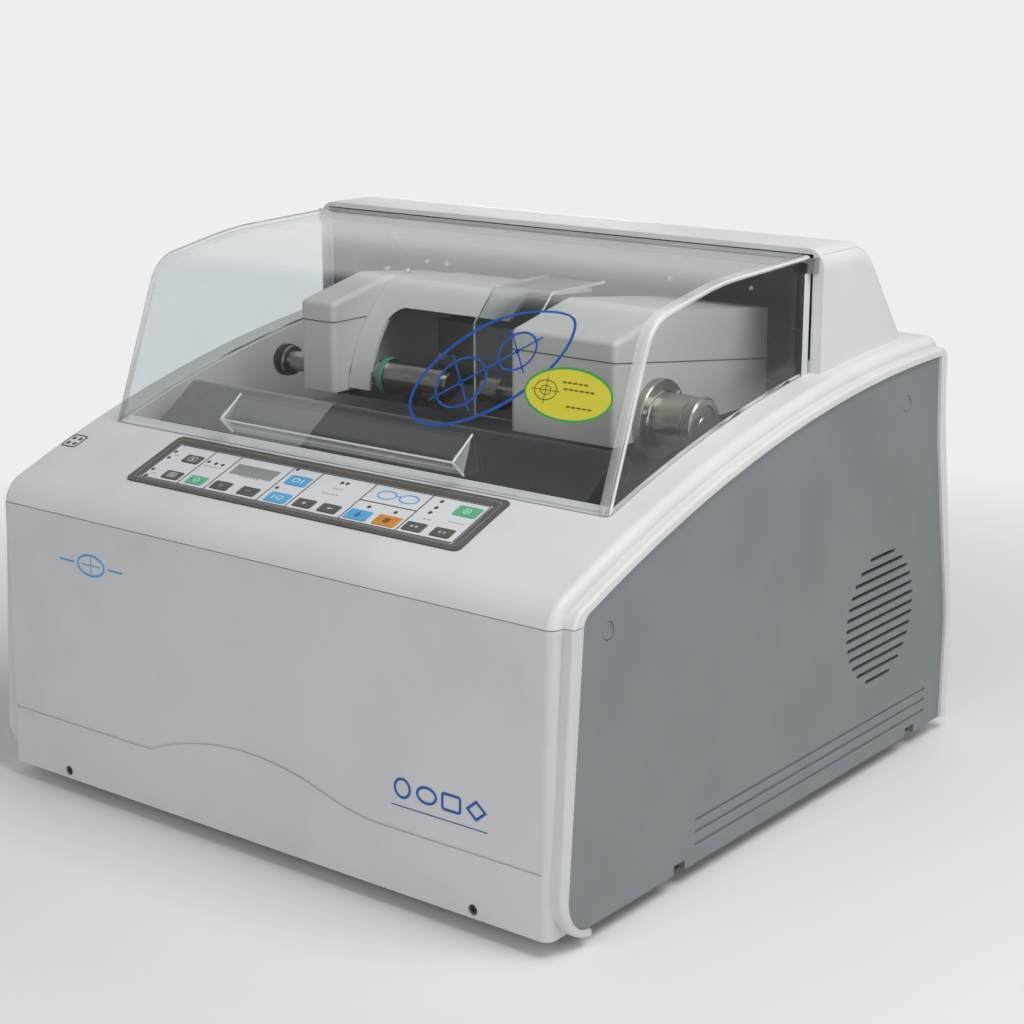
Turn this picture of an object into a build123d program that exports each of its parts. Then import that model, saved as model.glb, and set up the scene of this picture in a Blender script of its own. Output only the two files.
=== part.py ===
from build123d import *
from math import atan2, cos, radians, sin, sqrt
import os

# Bench machine that grinds the edge of a spectacle lens to shape.
# Frame: millimetres, X across the front to the right, Y to the rear, Z up.
# The origin is on the table, under the middle of the case.

os.makedirs("parts", exist_ok=True)

# ---------------------------------------------------------------- clearances
seat_gap = 0.3          # between a moving piece and its neighbour, and around inset panels
shaft_gap = 0.05        # radial, shaft in its bore
travel_gap = 0.4        # under a pressed key

case_width = 540.0      # over the side rims
drawn_width = 540.0     # the width at which the places across the case were drawn


def across(*places):
    """Places across the case, which follow its width."""
    moved = tuple(place * case_width / drawn_width for place in places)
    return moved if len(moved) > 1 else moved[0]


# ---------------------------------------------------------------- case
rim_proud = 8.0         # side rims beyond the rounded body
case_wall = 4.0
foot_height = 12.0
front_foot_y = -270.0
front_top_y = -266.3
rear_foot_y = 270.0
rear_hip = (269.0, 96.0)
rear_waist = (240.0, 272.0)
rear_top_y = 237.5
arch_radius = 1259.0    # side view radius of the deck and its rails
arch_centre_y = 230.0
arch_top_z = 335.0
front_top_radius = 25.0
rear_top_radius = 12.0
rear_bend_radius = 150.0
body_corner_radius = 7.0
seam_z = 220.7
seam_gap = 0.6

# side panels, set in a raised rim
panel_inset = 15.0      # rail above the panel
panel_front_top_y = -245.0
panel_front_foot_y = -261.5
panel_rear_top_y = 226.5
panel_rear_waist = (231.0, 250.0)
panel_rear_hip = (259.0, 100.0)
panel_rear_foot_y = 258.5
panel_thickness = 4.0
panel_recess = 2.5      # behind the rim
panel_ledge = 8.0
panel_front_top_radius = 10.0
panel_foot_radius = 27.0
rim_width = 6.5         # over and under the panel
rim_front_top_y = -256.0
rim_front_foot_y = -269.9
rim_foot_radius = 38.0
rim_rear_radius = 9.0
rim_edge_radius = 2.4
foot_hook_end_y = -219.0

# vent, grooves, screw caps and notches of the side panels
vent_y = 149.5
vent_z = 127.0
vent_radius = 53.0
vent_slot_count = 13
vent_slot_pitch = 8.2
vent_slot_height = 3.0
groove_heights = (26.5, 36.0, 45.0)
groove_start_y = -108.5
groove_end_y = 231.5
groove_depth = 1.0
groove_width = 2.0
cap_radius = 6.0
cap_places = ((-216.0, 210.0), (177.0, 290.5))
cap_depth = 2.0
notch_width = 14.0
notch_height = 7.0
notch_places = (-127.5, 208.5)

# lower front panel
wave_low = 46.0         # heights of its shallow line, up the face
wave_high = 67.0
wave_fall = 60.0
wave_left_x = across(-105.0)
wave_crest_x = across(-8.0)
wave_fall_x = across(50.0)
wave_right_x = across(118.0)
front_screw_x = across(-197.0, 199.5)
front_screw_z = 18.0
screw_head_radius = 3.6
screw_shank_radius = 2.0
screw_head_height = 2.4
screw_head_sink = 0.6

# base
base_thickness = 4.0
base_flange = 16.0
base_inset = 4.6        # flange behind the outside of the case
foot_radius = 19.0
foot_taper = 2.0
foot_place = (across(215.0), 215.0)

# hood over the rear of the chamber, moulded with the upper casing
hood_inset = 16.0       # sides of the hood inside those of the body
hood_front_y = 79.5
hood_top_z = 417.0
hood_crest_y = 150.0
hood_tail = (216.0, 332.0)
hood_crest_radius = 45.0
hood_edge_radius = 14.0
hood_frame = 9.0        # side posts beside its front mouth

# well under the transparent cover
well_inset = 31.0
well_front_y = -160.0
well_wall = 3.0
deck_top_z = 250.0
deck_thickness = 4.0
deck_rear_y = 85.0

# transparent cover
cover_inset = 26.0
cover_wall = 3.0
cover_foot = (-172.5, 268.0)
cover_brow = (-124.0, 393.0)
cover_bend = (-40.0, 408.5)
cover_rear_y = 77.5
cover_top_z = 412.5
cover_brow_radius = 34.0
cover_bend_radius = 300.0
cover_lift = 0.8        # lower edge over the rails
cover_edge_radius = 4.0
grip_half_length = across(111.0)
grip_top = (-158.0, 305.0)
grip_nose = (-184.0, 289.5)
grip_heel = (-168.0, 278.0)
grip_wall = 2.5
hinge_y = 75.5
hinge_z = 408.4
hinge_pin_radius = 1.6
hinge_ear_gap = 1.0     # beside the cover
hinge_ear_width = 5.0
hinge_ear_drop = 8.0
hinge_ear_rise = 2.8

# control panel on the sloping deck
control_y = -205.7
control_half_chord = 32.5
window_size = (300.0, 47.6)
window_stretch = window_size[0] / 300.0
bezel_sides = 9.0       # rim beside the window, over it and under it
bezel_over = 8.7
bezel_under = 5.6
bezel_size = (window_size[0] + 2 * bezel_sides, window_size[1] + bezel_over + bezel_under)
bezel_rise = (bezel_over - bezel_under) / 2
bezel_radius = 5.0
bezel_depth = 1.0       # let into the deck
bezel_proud = 0.8
overlay_proud = 0.4
key_proud = 0.9
key_flange = 1.0
key_flange_thickness = 1.0
key_stem_radius = 2.0
board_depth = 6.0
board_thickness = 1.6
board_margin = 3.0
post_radius = 2.5
key_corner_radius = 1.6
small_key = (17.0, 10.0)
wide_key = (20.0, 11.5)
lower_row = -14.5
upper_row = 8.0
start_row = 12.2
display_size = (42.0 * window_stretch, 13.0)
display_place = (-59.0 * window_stretch, 7.7)


def column(place):
    """Place along the control panel, which follows the width of its window."""
    return place * window_stretch


key_layout = {
    "key_mode": (column(-122.9), upper_row, small_key),
    "key_program": (column(-122.9), lower_row, small_key),
    "key_start_left": (column(-97.7), lower_row, small_key),
    "key_size_plus": (column(-72.4), lower_row, small_key),
    "key_size_minus": (column(-45.1), lower_row, small_key),
    "key_lens_left": (column(-16.0), upper_row, wide_key),
    "key_lens_right": (column(-16.0), lower_row, wide_key),
    "key_bevel_front": (column(9.4), lower_row, small_key),
    "key_bevel_rear": (column(32.8), lower_row, small_key),
    "key_water": (column(59.6), lower_row, wide_key),
    "key_stop": (column(85.6), lower_row, wide_key),
    "key_clamp": (column(110.0), lower_row, small_key),
    "key_release": (column(134.4), lower_row, small_key),
    "key_start": (column(136.0), start_row, wide_key),
}

# grinding head
lens_y = -36.5
lens_z = 304.5
guide_y = 130.0
guide_z = 290.0
guide_radius = 12.0
guide_half_length = across(232.0)
sleeve_wall = 5.0
sleeve_start_x = across(-150.0)
arm_floor_z = 292.0
cover_skin = 3.0
left_arm_x = across(-135.0, -100.0)
left_arm_y = (-66.5, 90.0)
left_seam_z = 347.0
left_lid_front_z = 362.0
left_lid_crest = (0.0, 376.0)
left_lid_rear_z = 366.0
right_arm_x = across(88.0, 180.0)
right_arm_y = (-86.5, 113.5)
right_seam_front_z = 351.5
right_seam_rear_z = 325.0
right_lid_front_z = 366.0
right_lid_crest = (-21.5, 380.0)
right_lid_rear_z = 364.0
arm_corner_radius = 4.5
casting_height = 28.0
casting_web = 14.0
hub_radius = 26.0
bridge_y = 60.0
lens_shaft_radius = 8.0
lens_shaft_end_x = across(-172.0)
chuck_radius = 12.5
chuck_x = across(-76.0, -10.0)
ring_radius = 14.0
ring_x = across(-72.0, -66.0)
pad_radius = 10.0
pad_thickness = 4.0
knob_radius = 13.0
knob_length = 14.0
quill_radius = 10.0
clamp_radius = 7.0
clamp_face_x = across(26.0)
clamp_head_length = 15.0
clamp_tail_x = across(205.0)
flange_radius = 29.0
flange_thickness = 7.0
cylinder_radius = 20.0
cylinder_bore = 15.0
cylinder_end_x = across(222.0)
cylinder_cap = 4.0
arch_x = across(-99.7, 34.7)
arch_front = (-51.0, 294.0)
arch_knee = (-38.5, 331.0)
arch_crown = (6.0, 374.0)
arch_rear = (88.0, 368.0)
mouth_x = across(-79.0, 50.0)
mouth_top_z = 342.0
mouth_radius = 14.0
shield_x = across(35.0, 87.7)
shield_front_y = -61.5
shield_top_z = 386.0
shield_rear_y = 30.0
shield_wall = 2.0
shield_radius = 50.0

# grinding wheels, their spindle and its drive
wheel_drop = 88.0       # spindle axis under the lens axis
wheel_radius = 50.0
wheel_stack_x = across(-56.0)
rough_width = 34.0
bevel_width = 20.0
polish_width = 20.0
bevel_groove = 2.5
spindle_radius = 10.0
spindle_room = 2.0      # round the shaft inside its housing
nut_radius = 17.0
nut_width = 8.0
housing_x = across(92.0, 186.0)
housing_radius = 25.0
housing_bearing_radius = 18.0
housing_bearing_width = 14.0
pulley_x = across(200.0, 222.0)
spindle_pulley_radius = 20.0
pulley_flange = 3.0
drive_y = 122.0
drive_z = 96.0
drive_radius = 52.0
drive_x = across(38.0, 186.0)
drive_pulley_radius = 33.0
drive_shaft_radius = 7.0
belt_thickness = 3.0

# basin under the wheels, and the guard in front of it
basin_x = across(-160.0, 80.0)
basin_y = (-102.0, 40.0)
basin_floor_z = 150.0
basin_wall = 3.0
basin_lip = 8.0
basin_radius = 16.0
drain_radius = 9.0
drain_x = across(-110.0)
drain_end_z = 5.0
drain_wall = 2.0
guard_x = across(-200.0, 208.0)
guard_split_x = across(-52.0)
guard_foot_y = -158.0
guard_knee_z = 273.0
guard_crest = (-119.0, 300.0)
guard_rear_y = -107.0
guard_wall = 2.5
guard_crest_radius = 7.0
water_x = across(-20.0)
water_z = 230.0
water_radius = 5.0
water_reach = 14.0      # into the basin
water_socket_length = 6.0

# rear panel and its fittings
rear_panel_y = 232.0
rear_panel_half = across(200.0)
rear_panel_z = (30.0, 226.0)
rear_panel_sheet = 2.0
rear_panel_flange = 4.0
inlet_x = across(-150.0)
inlet_z = 70.0
inlet_size = (50.0, 28.0)
inlet_depth = 24.0
inlet_rim = (4.0, 3.0)
inlet_rim_thickness = 2.0
socket_size = (24.0, 18.0)
socket_floor = 4.0
pin_places = ((-7.0, 0.0), (0.0, 4.0), (7.0, 0.0))
pin_half_width = 1.0
pin_low = 3.0
pin_high = 1.0
rocker_x = across(-90.0)
rocker_size = (20.0, 28.0)
rocker_tilt = 8.0
rocker_frame = 2.5
rocker_pin_radius = 1.5
rocker_pin_depth = 4.0
rocker_crest = 7.5      # at its ends, over the pivot
rocker_saddle = 5.5     # at its middle
rocker_shoulder = 3.0

# inside the case
pedestal_x = across(224.0, 236.0)
pedestal_y = (100.0, 160.0)
fan_size = 106.0
fan_depth = 22.0
fan_bore = 48.0
fan_hub_radius = 18.0
fan_blade_count = 7
fan_blade_angle = 40.0
fan_blade_thickness = 2.5
fan_strut = (3.0, 5.0)
supply_x = across(-218.0, -118.0)
supply_y = (90.0, 200.0)
supply_height = 85.0
board_x = across(-110.0, -10.0)
board_y = (90.0, 215.0)
board_lift = 8.0
board_post_inset = 6.0

# ---------------------------------------------------------------- values that follow
half_width = case_width / 2
body_half = half_width - rim_proud
inner_half = body_half - case_wall
hood_half_width = body_half - hood_inset
well_half_width = body_half - well_inset
cover_half_width = body_half - cover_inset
hinge_ear = (cover_half_width + hinge_ear_gap, cover_half_width + hinge_ear_gap + hinge_ear_width)
arch_centre_z = arch_top_z - arch_radius
case_floor_z = foot_height
panel_outer_x = half_width - panel_recess
panel_inner_x = panel_outer_x - panel_thickness
spindle_y = lens_y
spindle_z = lens_z - wheel_drop
sleeve_radius = guide_radius + shaft_gap + sleeve_wall
wheel_end_x = wheel_stack_x + rough_width + bevel_width + polish_width
base_top_z = case_floor_z + base_thickness
flange_end_x = right_arm_x[1] + flange_thickness
sleeve_ends = (sleeve_start_x, right_arm_x[1] - cover_skin - seat_gap)


def arch_height(y, rise=0.0):
    """Height of the deck at a depth y."""
    return arch_centre_z + sqrt((arch_radius + rise) ** 2 - (y - arch_centre_y) ** 2)


control_rise = arch_height(control_y + control_half_chord) - arch_height(control_y - control_half_chord)
control_tilt = atan2(control_rise, 2 * control_half_chord)
control_plane = Plane(
    origin=(0, control_y, arch_height(control_y)),
    x_dir=(1, 0, 0),
    z_dir=(0, -sin(control_tilt), cos(control_tilt)),
)


front_lean = atan2(front_top_y - front_foot_y, arch_height(front_top_y) - case_floor_z)
front_plane = Plane(
    origin=(0, front_foot_y, case_floor_z),
    x_dir=(1, 0, 0),
    z_dir=(0, -cos(front_lean), sin(front_lean)),
)


def middle(span):
    return (span[0] + span[1]) / 2


def block(x, y, z, mode=Mode.ADD):
    """Box between pairs of limits."""
    with Locations((middle(x), middle(y), middle(z))):
        Box(x[1] - x[0], y[1] - y[0], z[1] - z[0], mode=mode)


def rod(x, y, z, radius, mode=Mode.ADD):
    """Cylinder along X."""
    with Locations(Location((middle(x), y, z), (0, 90, 0))):
        Cylinder(radius, x[1] - x[0], mode=mode)


def rod_y(x, y, z, radius, mode=Mode.ADD):
    """Cylinder along Y."""
    with Locations(Location((x, middle(y), z), (90, 0, 0))):
        Cylinder(radius, y[1] - y[0], mode=mode)


def corner_of(sketch, point):
    """Vertex of a sketch nearest to a point of its plane."""
    return sketch.vertices().sort_by_distance((point[0], point[1], 0))[0]


def case_outline(inset=0.0):
    """Side view of the rounded body."""
    middle_y = (front_top_y + rear_top_y) / 2
    with BuildSketch(Plane.YZ) as outline:
        with BuildLine():
            top = ThreePointArc(
                (front_top_y, arch_height(front_top_y)),
                (middle_y, arch_height(middle_y)),
                (rear_top_y, arch_height(rear_top_y)),
            )
            Polyline(
                top @ 1,
                rear_waist,
                rear_hip,
                (rear_foot_y, case_floor_z),
                (front_foot_y, case_floor_z),
                top @ 0,
            )
        make_face()
        fillet(corner_of(outline, (front_top_y, arch_height(front_top_y))), front_top_radius)
        fillet(corner_of(outline, (rear_top_y, arch_height(rear_top_y))), rear_top_radius)
        fillet(corner_of(outline, rear_waist), rear_bend_radius)
        fillet(corner_of(outline, rear_hip), rear_bend_radius)
        if inset:
            offset(amount=-inset)
    return outline.sketch


def panel_outline(grow=0.0):
    """Side view of the grey side panel."""
    rise = -panel_inset
    middle_y = (panel_front_top_y + panel_rear_top_y) / 2
    front_top = (panel_front_top_y, arch_height(panel_front_top_y, rise))
    front_foot = (panel_front_foot_y, case_floor_z)
    with BuildSketch(Plane.YZ) as outline:
        with BuildLine():
            top = ThreePointArc(
                front_top,
                (middle_y, arch_height(middle_y, rise)),
                (panel_rear_top_y, arch_height(panel_rear_top_y, rise)),
            )
            Polyline(
                top @ 1,
                panel_rear_waist,
                panel_rear_hip,
                (panel_rear_foot_y, case_floor_z),
                front_foot,
                top @ 0,
            )
        make_face()
        fillet(corner_of(outline, front_top), panel_front_top_radius)
        fillet(corner_of(outline, front_foot), panel_foot_radius)
        fillet(corner_of(outline, panel_rear_waist), rear_bend_radius)
        fillet(corner_of(outline, panel_rear_hip), rear_bend_radius)
        if grow:
            offset(amount=grow)
    return outline.sketch


def rim_outline():
    """Side view of the raised rim, down to the hook under the front corner of the side panel."""
    rise = rim_width - panel_inset
    middle_y = (rim_front_top_y + rear_top_y) / 2
    front_top = (rim_front_top_y, arch_height(rim_front_top_y, rise))
    front_foot = (rim_front_foot_y, case_floor_z - rim_width)
    rear_top = (rear_top_y, arch_height(rear_top_y, rise))
    with BuildSketch(Plane.YZ) as outline:
        with BuildLine():
            top = ThreePointArc(front_top, (middle_y, arch_height(middle_y, rise)), rear_top)
            Polyline(
                top @ 1,
                rear_waist,
                rear_hip,
                (rear_foot_y, front_foot[1]),
                front_foot,
                top @ 0,
            )
        make_face()
        fillet(corner_of(outline, front_top), panel_front_top_radius + rim_width)
        fillet(corner_of(outline, front_foot), rim_foot_radius)
        fillet(corner_of(outline, rear_top), rim_rear_radius)
        fillet(corner_of(outline, rear_waist), rear_bend_radius)
        fillet(corner_of(outline, rear_hip), rear_bend_radius)
    return outline.sketch


def hood_outline(inset=0.0):
    """Side view of the hood, carried down into the case."""
    root_z = arch_height(hood_front_y) - 3 * case_wall
    with BuildSketch(Plane.YZ) as outline:
        with BuildLine():
            Polyline(
                (hood_front_y, root_z),
                (hood_front_y, hood_top_z),
                (hood_crest_y, hood_top_z),
                (hood_tail[0], hood_tail[1]),
                (hood_tail[0], root_z),
                close=True,
            )
        make_face()
        fillet(corner_of(outline, (hood_crest_y, hood_top_z)), hood_crest_radius)
        if inset:
            offset(amount=-inset)
    return outline.sketch


def cover_outline(inset=0.0):
    """Side view of the cover, carried on below the deck and behind the hinge."""
    far_y = hood_crest_y
    far_z = deck_top_z - 2 * cover_brow_radius
    front_slope = (cover_brow[0] - cover_foot[0]) / (cover_brow[1] - cover_foot[1])
    low_front_y = cover_foot[0] - front_slope * (cover_foot[1] - far_z)
    with BuildSketch(Plane.YZ) as outline:
        with BuildLine():
            Polyline(
                (low_front_y, far_z),
                cover_brow,
                cover_bend,
                (cover_rear_y, cover_top_z),
                (far_y, cover_top_z),
                (far_y, far_z),
                close=True,
            )
        make_face()
        fillet(corner_of(outline, cover_brow), cover_brow_radius)
        fillet(corner_of(outline, cover_bend), cover_bend_radius)
        if inset:
            offset(amount=-inset)
    return outline.sketch


# ---------------------------------------------------------------- casing blank
# The upper casing and the lower front panel are one rounded shell, cut at the seam.
with BuildPart() as case_blank:
    extrude(case_outline(), amount=body_half, both=True)
    side_edges = case_blank.faces().filter_by(Axis.X).edges()
    low_edges = side_edges.filter_by_position(Axis.Z, case_floor_z - 1, case_floor_z + 1)
    fillet([edge for edge in side_edges if edge not in low_edges], body_corner_radius)

with BuildPart() as rim_blank:
    extrude(rim_outline(), amount=half_width, both=True)
    fillet(rim_blank.faces().filter_by(Axis.X).edges(), rim_edge_radius)
    block(
        (-half_width, half_width),
        (foot_hook_end_y, rear_foot_y),
        (case_floor_z - 3 * rim_width, case_floor_z),
        mode=Mode.SUBTRACT,
    )

with BuildPart() as case_shell:
    add(case_blank.part)
    add(rim_blank.part)
    extrude(panel_outline(seat_gap), amount=half_width, both=True, mode=Mode.SUBTRACT)
    extrude(case_outline(case_wall), amount=inner_half, both=True, mode=Mode.SUBTRACT)
    block(
        (-inner_half, inner_half),
        (front_foot_y + case_wall, rear_foot_y - case_wall),
        (0, case_floor_z + 2 * case_wall),
        mode=Mode.SUBTRACT,
    )
    extrude(panel_outline(-panel_ledge), amount=half_width, both=True, mode=Mode.SUBTRACT)
    block(
        (-half_width, half_width),
        (panel_front_foot_y + panel_foot_radius, panel_rear_foot_y - panel_ledge),
        (0, case_floor_z + 2 * panel_ledge),
        mode=Mode.SUBTRACT,
    )

# ---------------------------------------------------------------- upper casing
hood_inner_z = hood_top_z - case_wall
seam_cut = (
    (-half_width, half_width),
    (front_foot_y - case_wall, foot_hook_end_y + case_wall),
    (0, seam_z + seam_gap / 2),
)
post_places = [
    (side * (window_size[0] / 2 - post_radius), row * (window_size[1] / 2 + board_margin / 2))
    for side in (-1, 1)
    for row in (-1, 1)
]

with BuildPart() as hood_blank:
    extrude(hood_outline(), amount=hood_half_width, both=True)
    hood_edges = hood_blank.faces().filter_by(Axis.X).edges()
    rear_edges = hood_edges.filter_by_position(Axis.Y, hood_front_y + 1, hood_tail[0] - 1)
    fillet(rear_edges.filter_by_position(Axis.Z, hood_tail[1], hood_top_z + 1), hood_edge_radius)

with BuildPart() as well_ring:
    block(
        (-well_half_width - well_wall, well_half_width + well_wall),
        (well_front_y - well_wall, hood_front_y),
        (deck_top_z - deck_thickness, hood_top_z),
    )
    block(
        (-well_half_width, well_half_width),
        (well_front_y, hood_front_y),
        (deck_top_z - deck_thickness, hood_top_z),
        mode=Mode.SUBTRACT,
    )
    extrude(case_outline(case_wall / 2), amount=inner_half, both=True, mode=Mode.INTERSECT)

with BuildPart() as upper_casing:
    add(case_shell.part)
    add(hood_blank.part)
    extrude(case_outline(case_wall), amount=inner_half, both=True, mode=Mode.SUBTRACT)
    add(well_ring.part)
    extrude(
        hood_outline(case_wall),
        amount=hood_half_width - case_wall,
        both=True,
        mode=Mode.SUBTRACT,
    )
    block(
        (-hood_half_width + hood_frame, hood_half_width - hood_frame),
        (hood_front_y - 1, hood_front_y + 2 * case_wall),
        (arch_top_z, hood_inner_z),
        mode=Mode.SUBTRACT,
    )
    block(
        (-well_half_width, well_half_width),
        (well_front_y, hood_front_y + 2 * case_wall),
        (deck_top_z - deck_thickness, hood_inner_z),
        mode=Mode.SUBTRACT,
    )
    # pocket of the control panel, its opening and the posts under it
    with BuildSketch(control_plane.offset(-bezel_depth)):
        with Locations((0, bezel_rise)):
            RectangleRounded(
                bezel_size[0] + 2 * seat_gap, bezel_size[1] + 2 * seat_gap, bezel_radius
            )
    extrude(amount=2 * case_wall, mode=Mode.SUBTRACT)
    with BuildSketch(control_plane.offset(case_wall)):
        Rectangle(window_size[0] - 2 * board_margin, window_size[1] - board_margin)
    extrude(amount=-4 * case_wall, mode=Mode.SUBTRACT)
    with BuildSketch(control_plane.offset(-board_depth)):
        with Locations(post_places):
            Circle(post_radius)
    extrude(amount=board_depth - case_wall / 2)
    # opening of the rear panel
    block(
        (-rear_panel_half + rear_panel_flange, rear_panel_half - rear_panel_flange),
        (rear_panel_y, rear_foot_y + case_wall),
        (rear_panel_z[0] + rear_panel_flange, rear_panel_z[1] - rear_panel_flange),
        mode=Mode.SUBTRACT,
    )
    # the front below the seam belongs to the lower panel
    block(*seam_cut, mode=Mode.SUBTRACT)
upper_casing.part.label = "upper_casing"
export_step(upper_casing.part, "parts/upper_casing.step")

# ---------------------------------------------------------------- lower front panel
wave_end_x = body_half - body_corner_radius

with BuildPart() as front_panel:
    add(case_shell.part)
    block(
        (-half_width, half_width),
        (front_foot_y - case_wall, foot_hook_end_y + case_wall),
        (0, seam_z - seam_gap / 2),
        mode=Mode.INTERSECT,
    )
    # shallow line that rises over the middle
    with BuildSketch(front_plane.offset(-groove_depth)):
        with BuildLine():
            left = Line((-wave_end_x, wave_low), (wave_left_x, wave_low))
            hump = ThreePointArc(left @ 1, (wave_crest_x, wave_high), (wave_fall_x, wave_fall))
            tail = Spline(hump @ 1, (wave_right_x, wave_low), tangents=(hump % 1, (1, 0)))
            Line(tail @ 1, (wave_end_x, wave_low))
        trace(line_width=groove_width)
    extrude(amount=2 * groove_depth, mode=Mode.SUBTRACT)
    for screw_x in front_screw_x:
        rod_y(
            screw_x,
            (front_foot_y - 1, front_foot_y + screw_head_height),
            front_screw_z,
            screw_head_radius + seat_gap,
            mode=Mode.SUBTRACT,
        )
        rod_y(
            screw_x,
            (front_foot_y - 1, front_foot_y + 3 * case_wall),
            front_screw_z,
            screw_shank_radius + shaft_gap,
            mode=Mode.SUBTRACT,
        )
front_panel.part.label = "front_panel"
export_step(front_panel.part, "parts/front_panel.step")

# ---------------------------------------------------------------- side panels
for side, side_name in ((-1, "left"), (1, "right")):
    outer_x = side * panel_outer_x
    with BuildPart() as side_panel:
        extrude(panel_outline(), amount=panel_outer_x, both=True)
        near = panel_inner_x if side > 0 else -half_width
        far = half_width if side > 0 else -panel_inner_x
        block(
            (near, far),
            (front_foot_y, rear_foot_y),
            (0, arch_top_z),
            mode=Mode.INTERSECT,
        )
        # vent slots, each as long as its chord of the circle
        for count in range(vent_slot_count):
            rise = (count - (vent_slot_count - 1) / 2) * vent_slot_pitch
            half_chord = sqrt(vent_radius**2 - rise**2)
            slot_plane = Plane(origin=(outer_x, vent_y, vent_z + rise), x_dir=(0, 1, 0), z_dir=(1, 0, 0))
            with BuildSketch(slot_plane):
                SlotOverall(2 * half_chord, vent_slot_height)
            extrude(amount=2 * panel_thickness, both=True, mode=Mode.SUBTRACT)
        for height in groove_heights:
            block(
                (outer_x - groove_depth, outer_x + groove_depth),
                (groove_start_y, groove_end_y),
                (height - groove_width / 2, height + groove_width / 2),
                mode=Mode.SUBTRACT,
            )
        for cap_y, cap_z in cap_places:
            rod(
                (outer_x - cap_depth, outer_x + cap_depth),
                cap_y,
                cap_z,
                cap_radius + seat_gap,
                mode=Mode.SUBTRACT,
            )
        for notch_y in notch_places:
            block(
                (outer_x - 2 * panel_thickness, outer_x + 2 * panel_thickness),
                (notch_y - notch_width / 2, notch_y + notch_width / 2),
                (0, case_floor_z + notch_height),
                mode=Mode.SUBTRACT,
            )
    side_panel.part.label = f"side_panel_{side_name}"
    export_step(side_panel.part, f"parts/side_panel_{side_name}.step")

# ---------------------------------------------------------------- base and feet
base_half = inner_half - seat_gap
base_front_y = front_foot_y + base_inset
base_rear_y = rear_foot_y - base_inset
tray_rim = (case_floor_z, case_floor_z + base_flange)
drain_hole_radius = drain_radius + seat_gap

with BuildPart() as base_plate:
    block((-base_half, base_half), (base_front_y, base_rear_y), tray_rim)
    block(
        (-base_half + base_thickness, base_half - base_thickness),
        (base_front_y + base_thickness, base_rear_y - base_thickness),
        (base_top_z, tray_rim[1]),
        mode=Mode.SUBTRACT,
    )
    with Locations((drain_x, lens_y, case_floor_z)):
        Cylinder(drain_hole_radius, 4 * base_thickness, mode=Mode.SUBTRACT)
    for screw_x in front_screw_x:
        rod_y(
            screw_x,
            (base_front_y - 1, base_front_y + 2 * base_thickness),
            front_screw_z,
            screw_shank_radius + shaft_gap,
            mode=Mode.SUBTRACT,
        )
base_plate.part.label = "base_plate"
export_step(base_plate.part, "parts/base_plate.step")

with BuildPart() as rubber_feet:
    for foot_x in (-foot_place[0], foot_place[0]):
        for foot_y in (-foot_place[1], foot_place[1]):
            with Locations((foot_x, foot_y, foot_height / 2)):
                Cone(foot_radius - foot_taper, foot_radius, foot_height)
rubber_feet.part.label = "rubber_feet"
export_step(rubber_feet.part, "parts/rubber_feet.step")

# ---------------------------------------------------------------- screws and caps
with BuildPart() as case_screws:
    for screw_x in front_screw_x:
        rod_y(
            screw_x,
            (front_foot_y + screw_head_sink, front_foot_y + screw_head_height),
            front_screw_z,
            screw_head_radius,
        )
        rod_y(
            screw_x,
            (front_foot_y + screw_head_sink, base_front_y + base_thickness),
            front_screw_z,
            screw_shank_radius,
        )
    for side in (-1, 1):
        for notch_y in notch_places:
            rod(
                sorted((side * base_half, side * panel_inner_x)),
                notch_y,
                case_floor_z + notch_height / 2,
                notch_height / 2 - seat_gap,
            )
        for cap_y, cap_z in cap_places:
            rod(
                sorted((side * (panel_outer_x - cap_depth), side * panel_outer_x)),
                cap_y,
                cap_z,
                cap_radius,
            )
case_screws.part.label = "case_screws"
export_step(case_screws.part, "parts/case_screws.step")

# ---------------------------------------------------------------- rear panel
inlet_face_y = rear_panel_y + rear_panel_sheet
inlet_half = (inlet_size[0] / 2, inlet_size[1] / 2)
rocker_half = (rocker_size[0] / 2, rocker_size[1] / 2)
rocker_hole = rocker_frame + 0.5

with BuildPart() as rear_panel:
    flange_end_y = rear_foot_y + case_wall
    block((-rear_panel_half, rear_panel_half), (rear_panel_y, flange_end_y), rear_panel_z)
    block(
        (-rear_panel_half + rear_panel_sheet, rear_panel_half - rear_panel_sheet),
        (rear_panel_y + rear_panel_sheet, flange_end_y),
        (rear_panel_z[0] + rear_panel_sheet, rear_panel_z[1] - rear_panel_sheet),
        mode=Mode.SUBTRACT,
    )
    extrude(case_outline(case_wall + seat_gap), amount=inner_half, both=True, mode=Mode.INTERSECT)
    block(
        (inlet_x - inlet_half[0] - seat_gap, inlet_x + inlet_half[0] + seat_gap),
        (rear_panel_y - 1, rear_panel_y + 2 * rear_panel_sheet),
        (inlet_z - inlet_half[1] - seat_gap, inlet_z + inlet_half[1] + seat_gap),
        mode=Mode.SUBTRACT,
    )
    block(
        (rocker_x - rocker_half[0] - rocker_hole, rocker_x + rocker_half[0] + rocker_hole),
        (rear_panel_y - 1, rear_panel_y + 2 * rear_panel_sheet),
        (inlet_z - rocker_half[1] - rocker_hole, inlet_z + rocker_half[1] + rocker_hole),
        mode=Mode.SUBTRACT,
    )
    rod_y(
        water_x,
        (rear_panel_y - 1, rear_panel_y + 2 * rear_panel_sheet),
        rear_panel_z[1] - 4 * water_radius,
        water_radius + seat_gap,
        mode=Mode.SUBTRACT,
    )
rear_panel.part.label = "rear_panel"
export_step(rear_panel.part, "parts/rear_panel.step")

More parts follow.
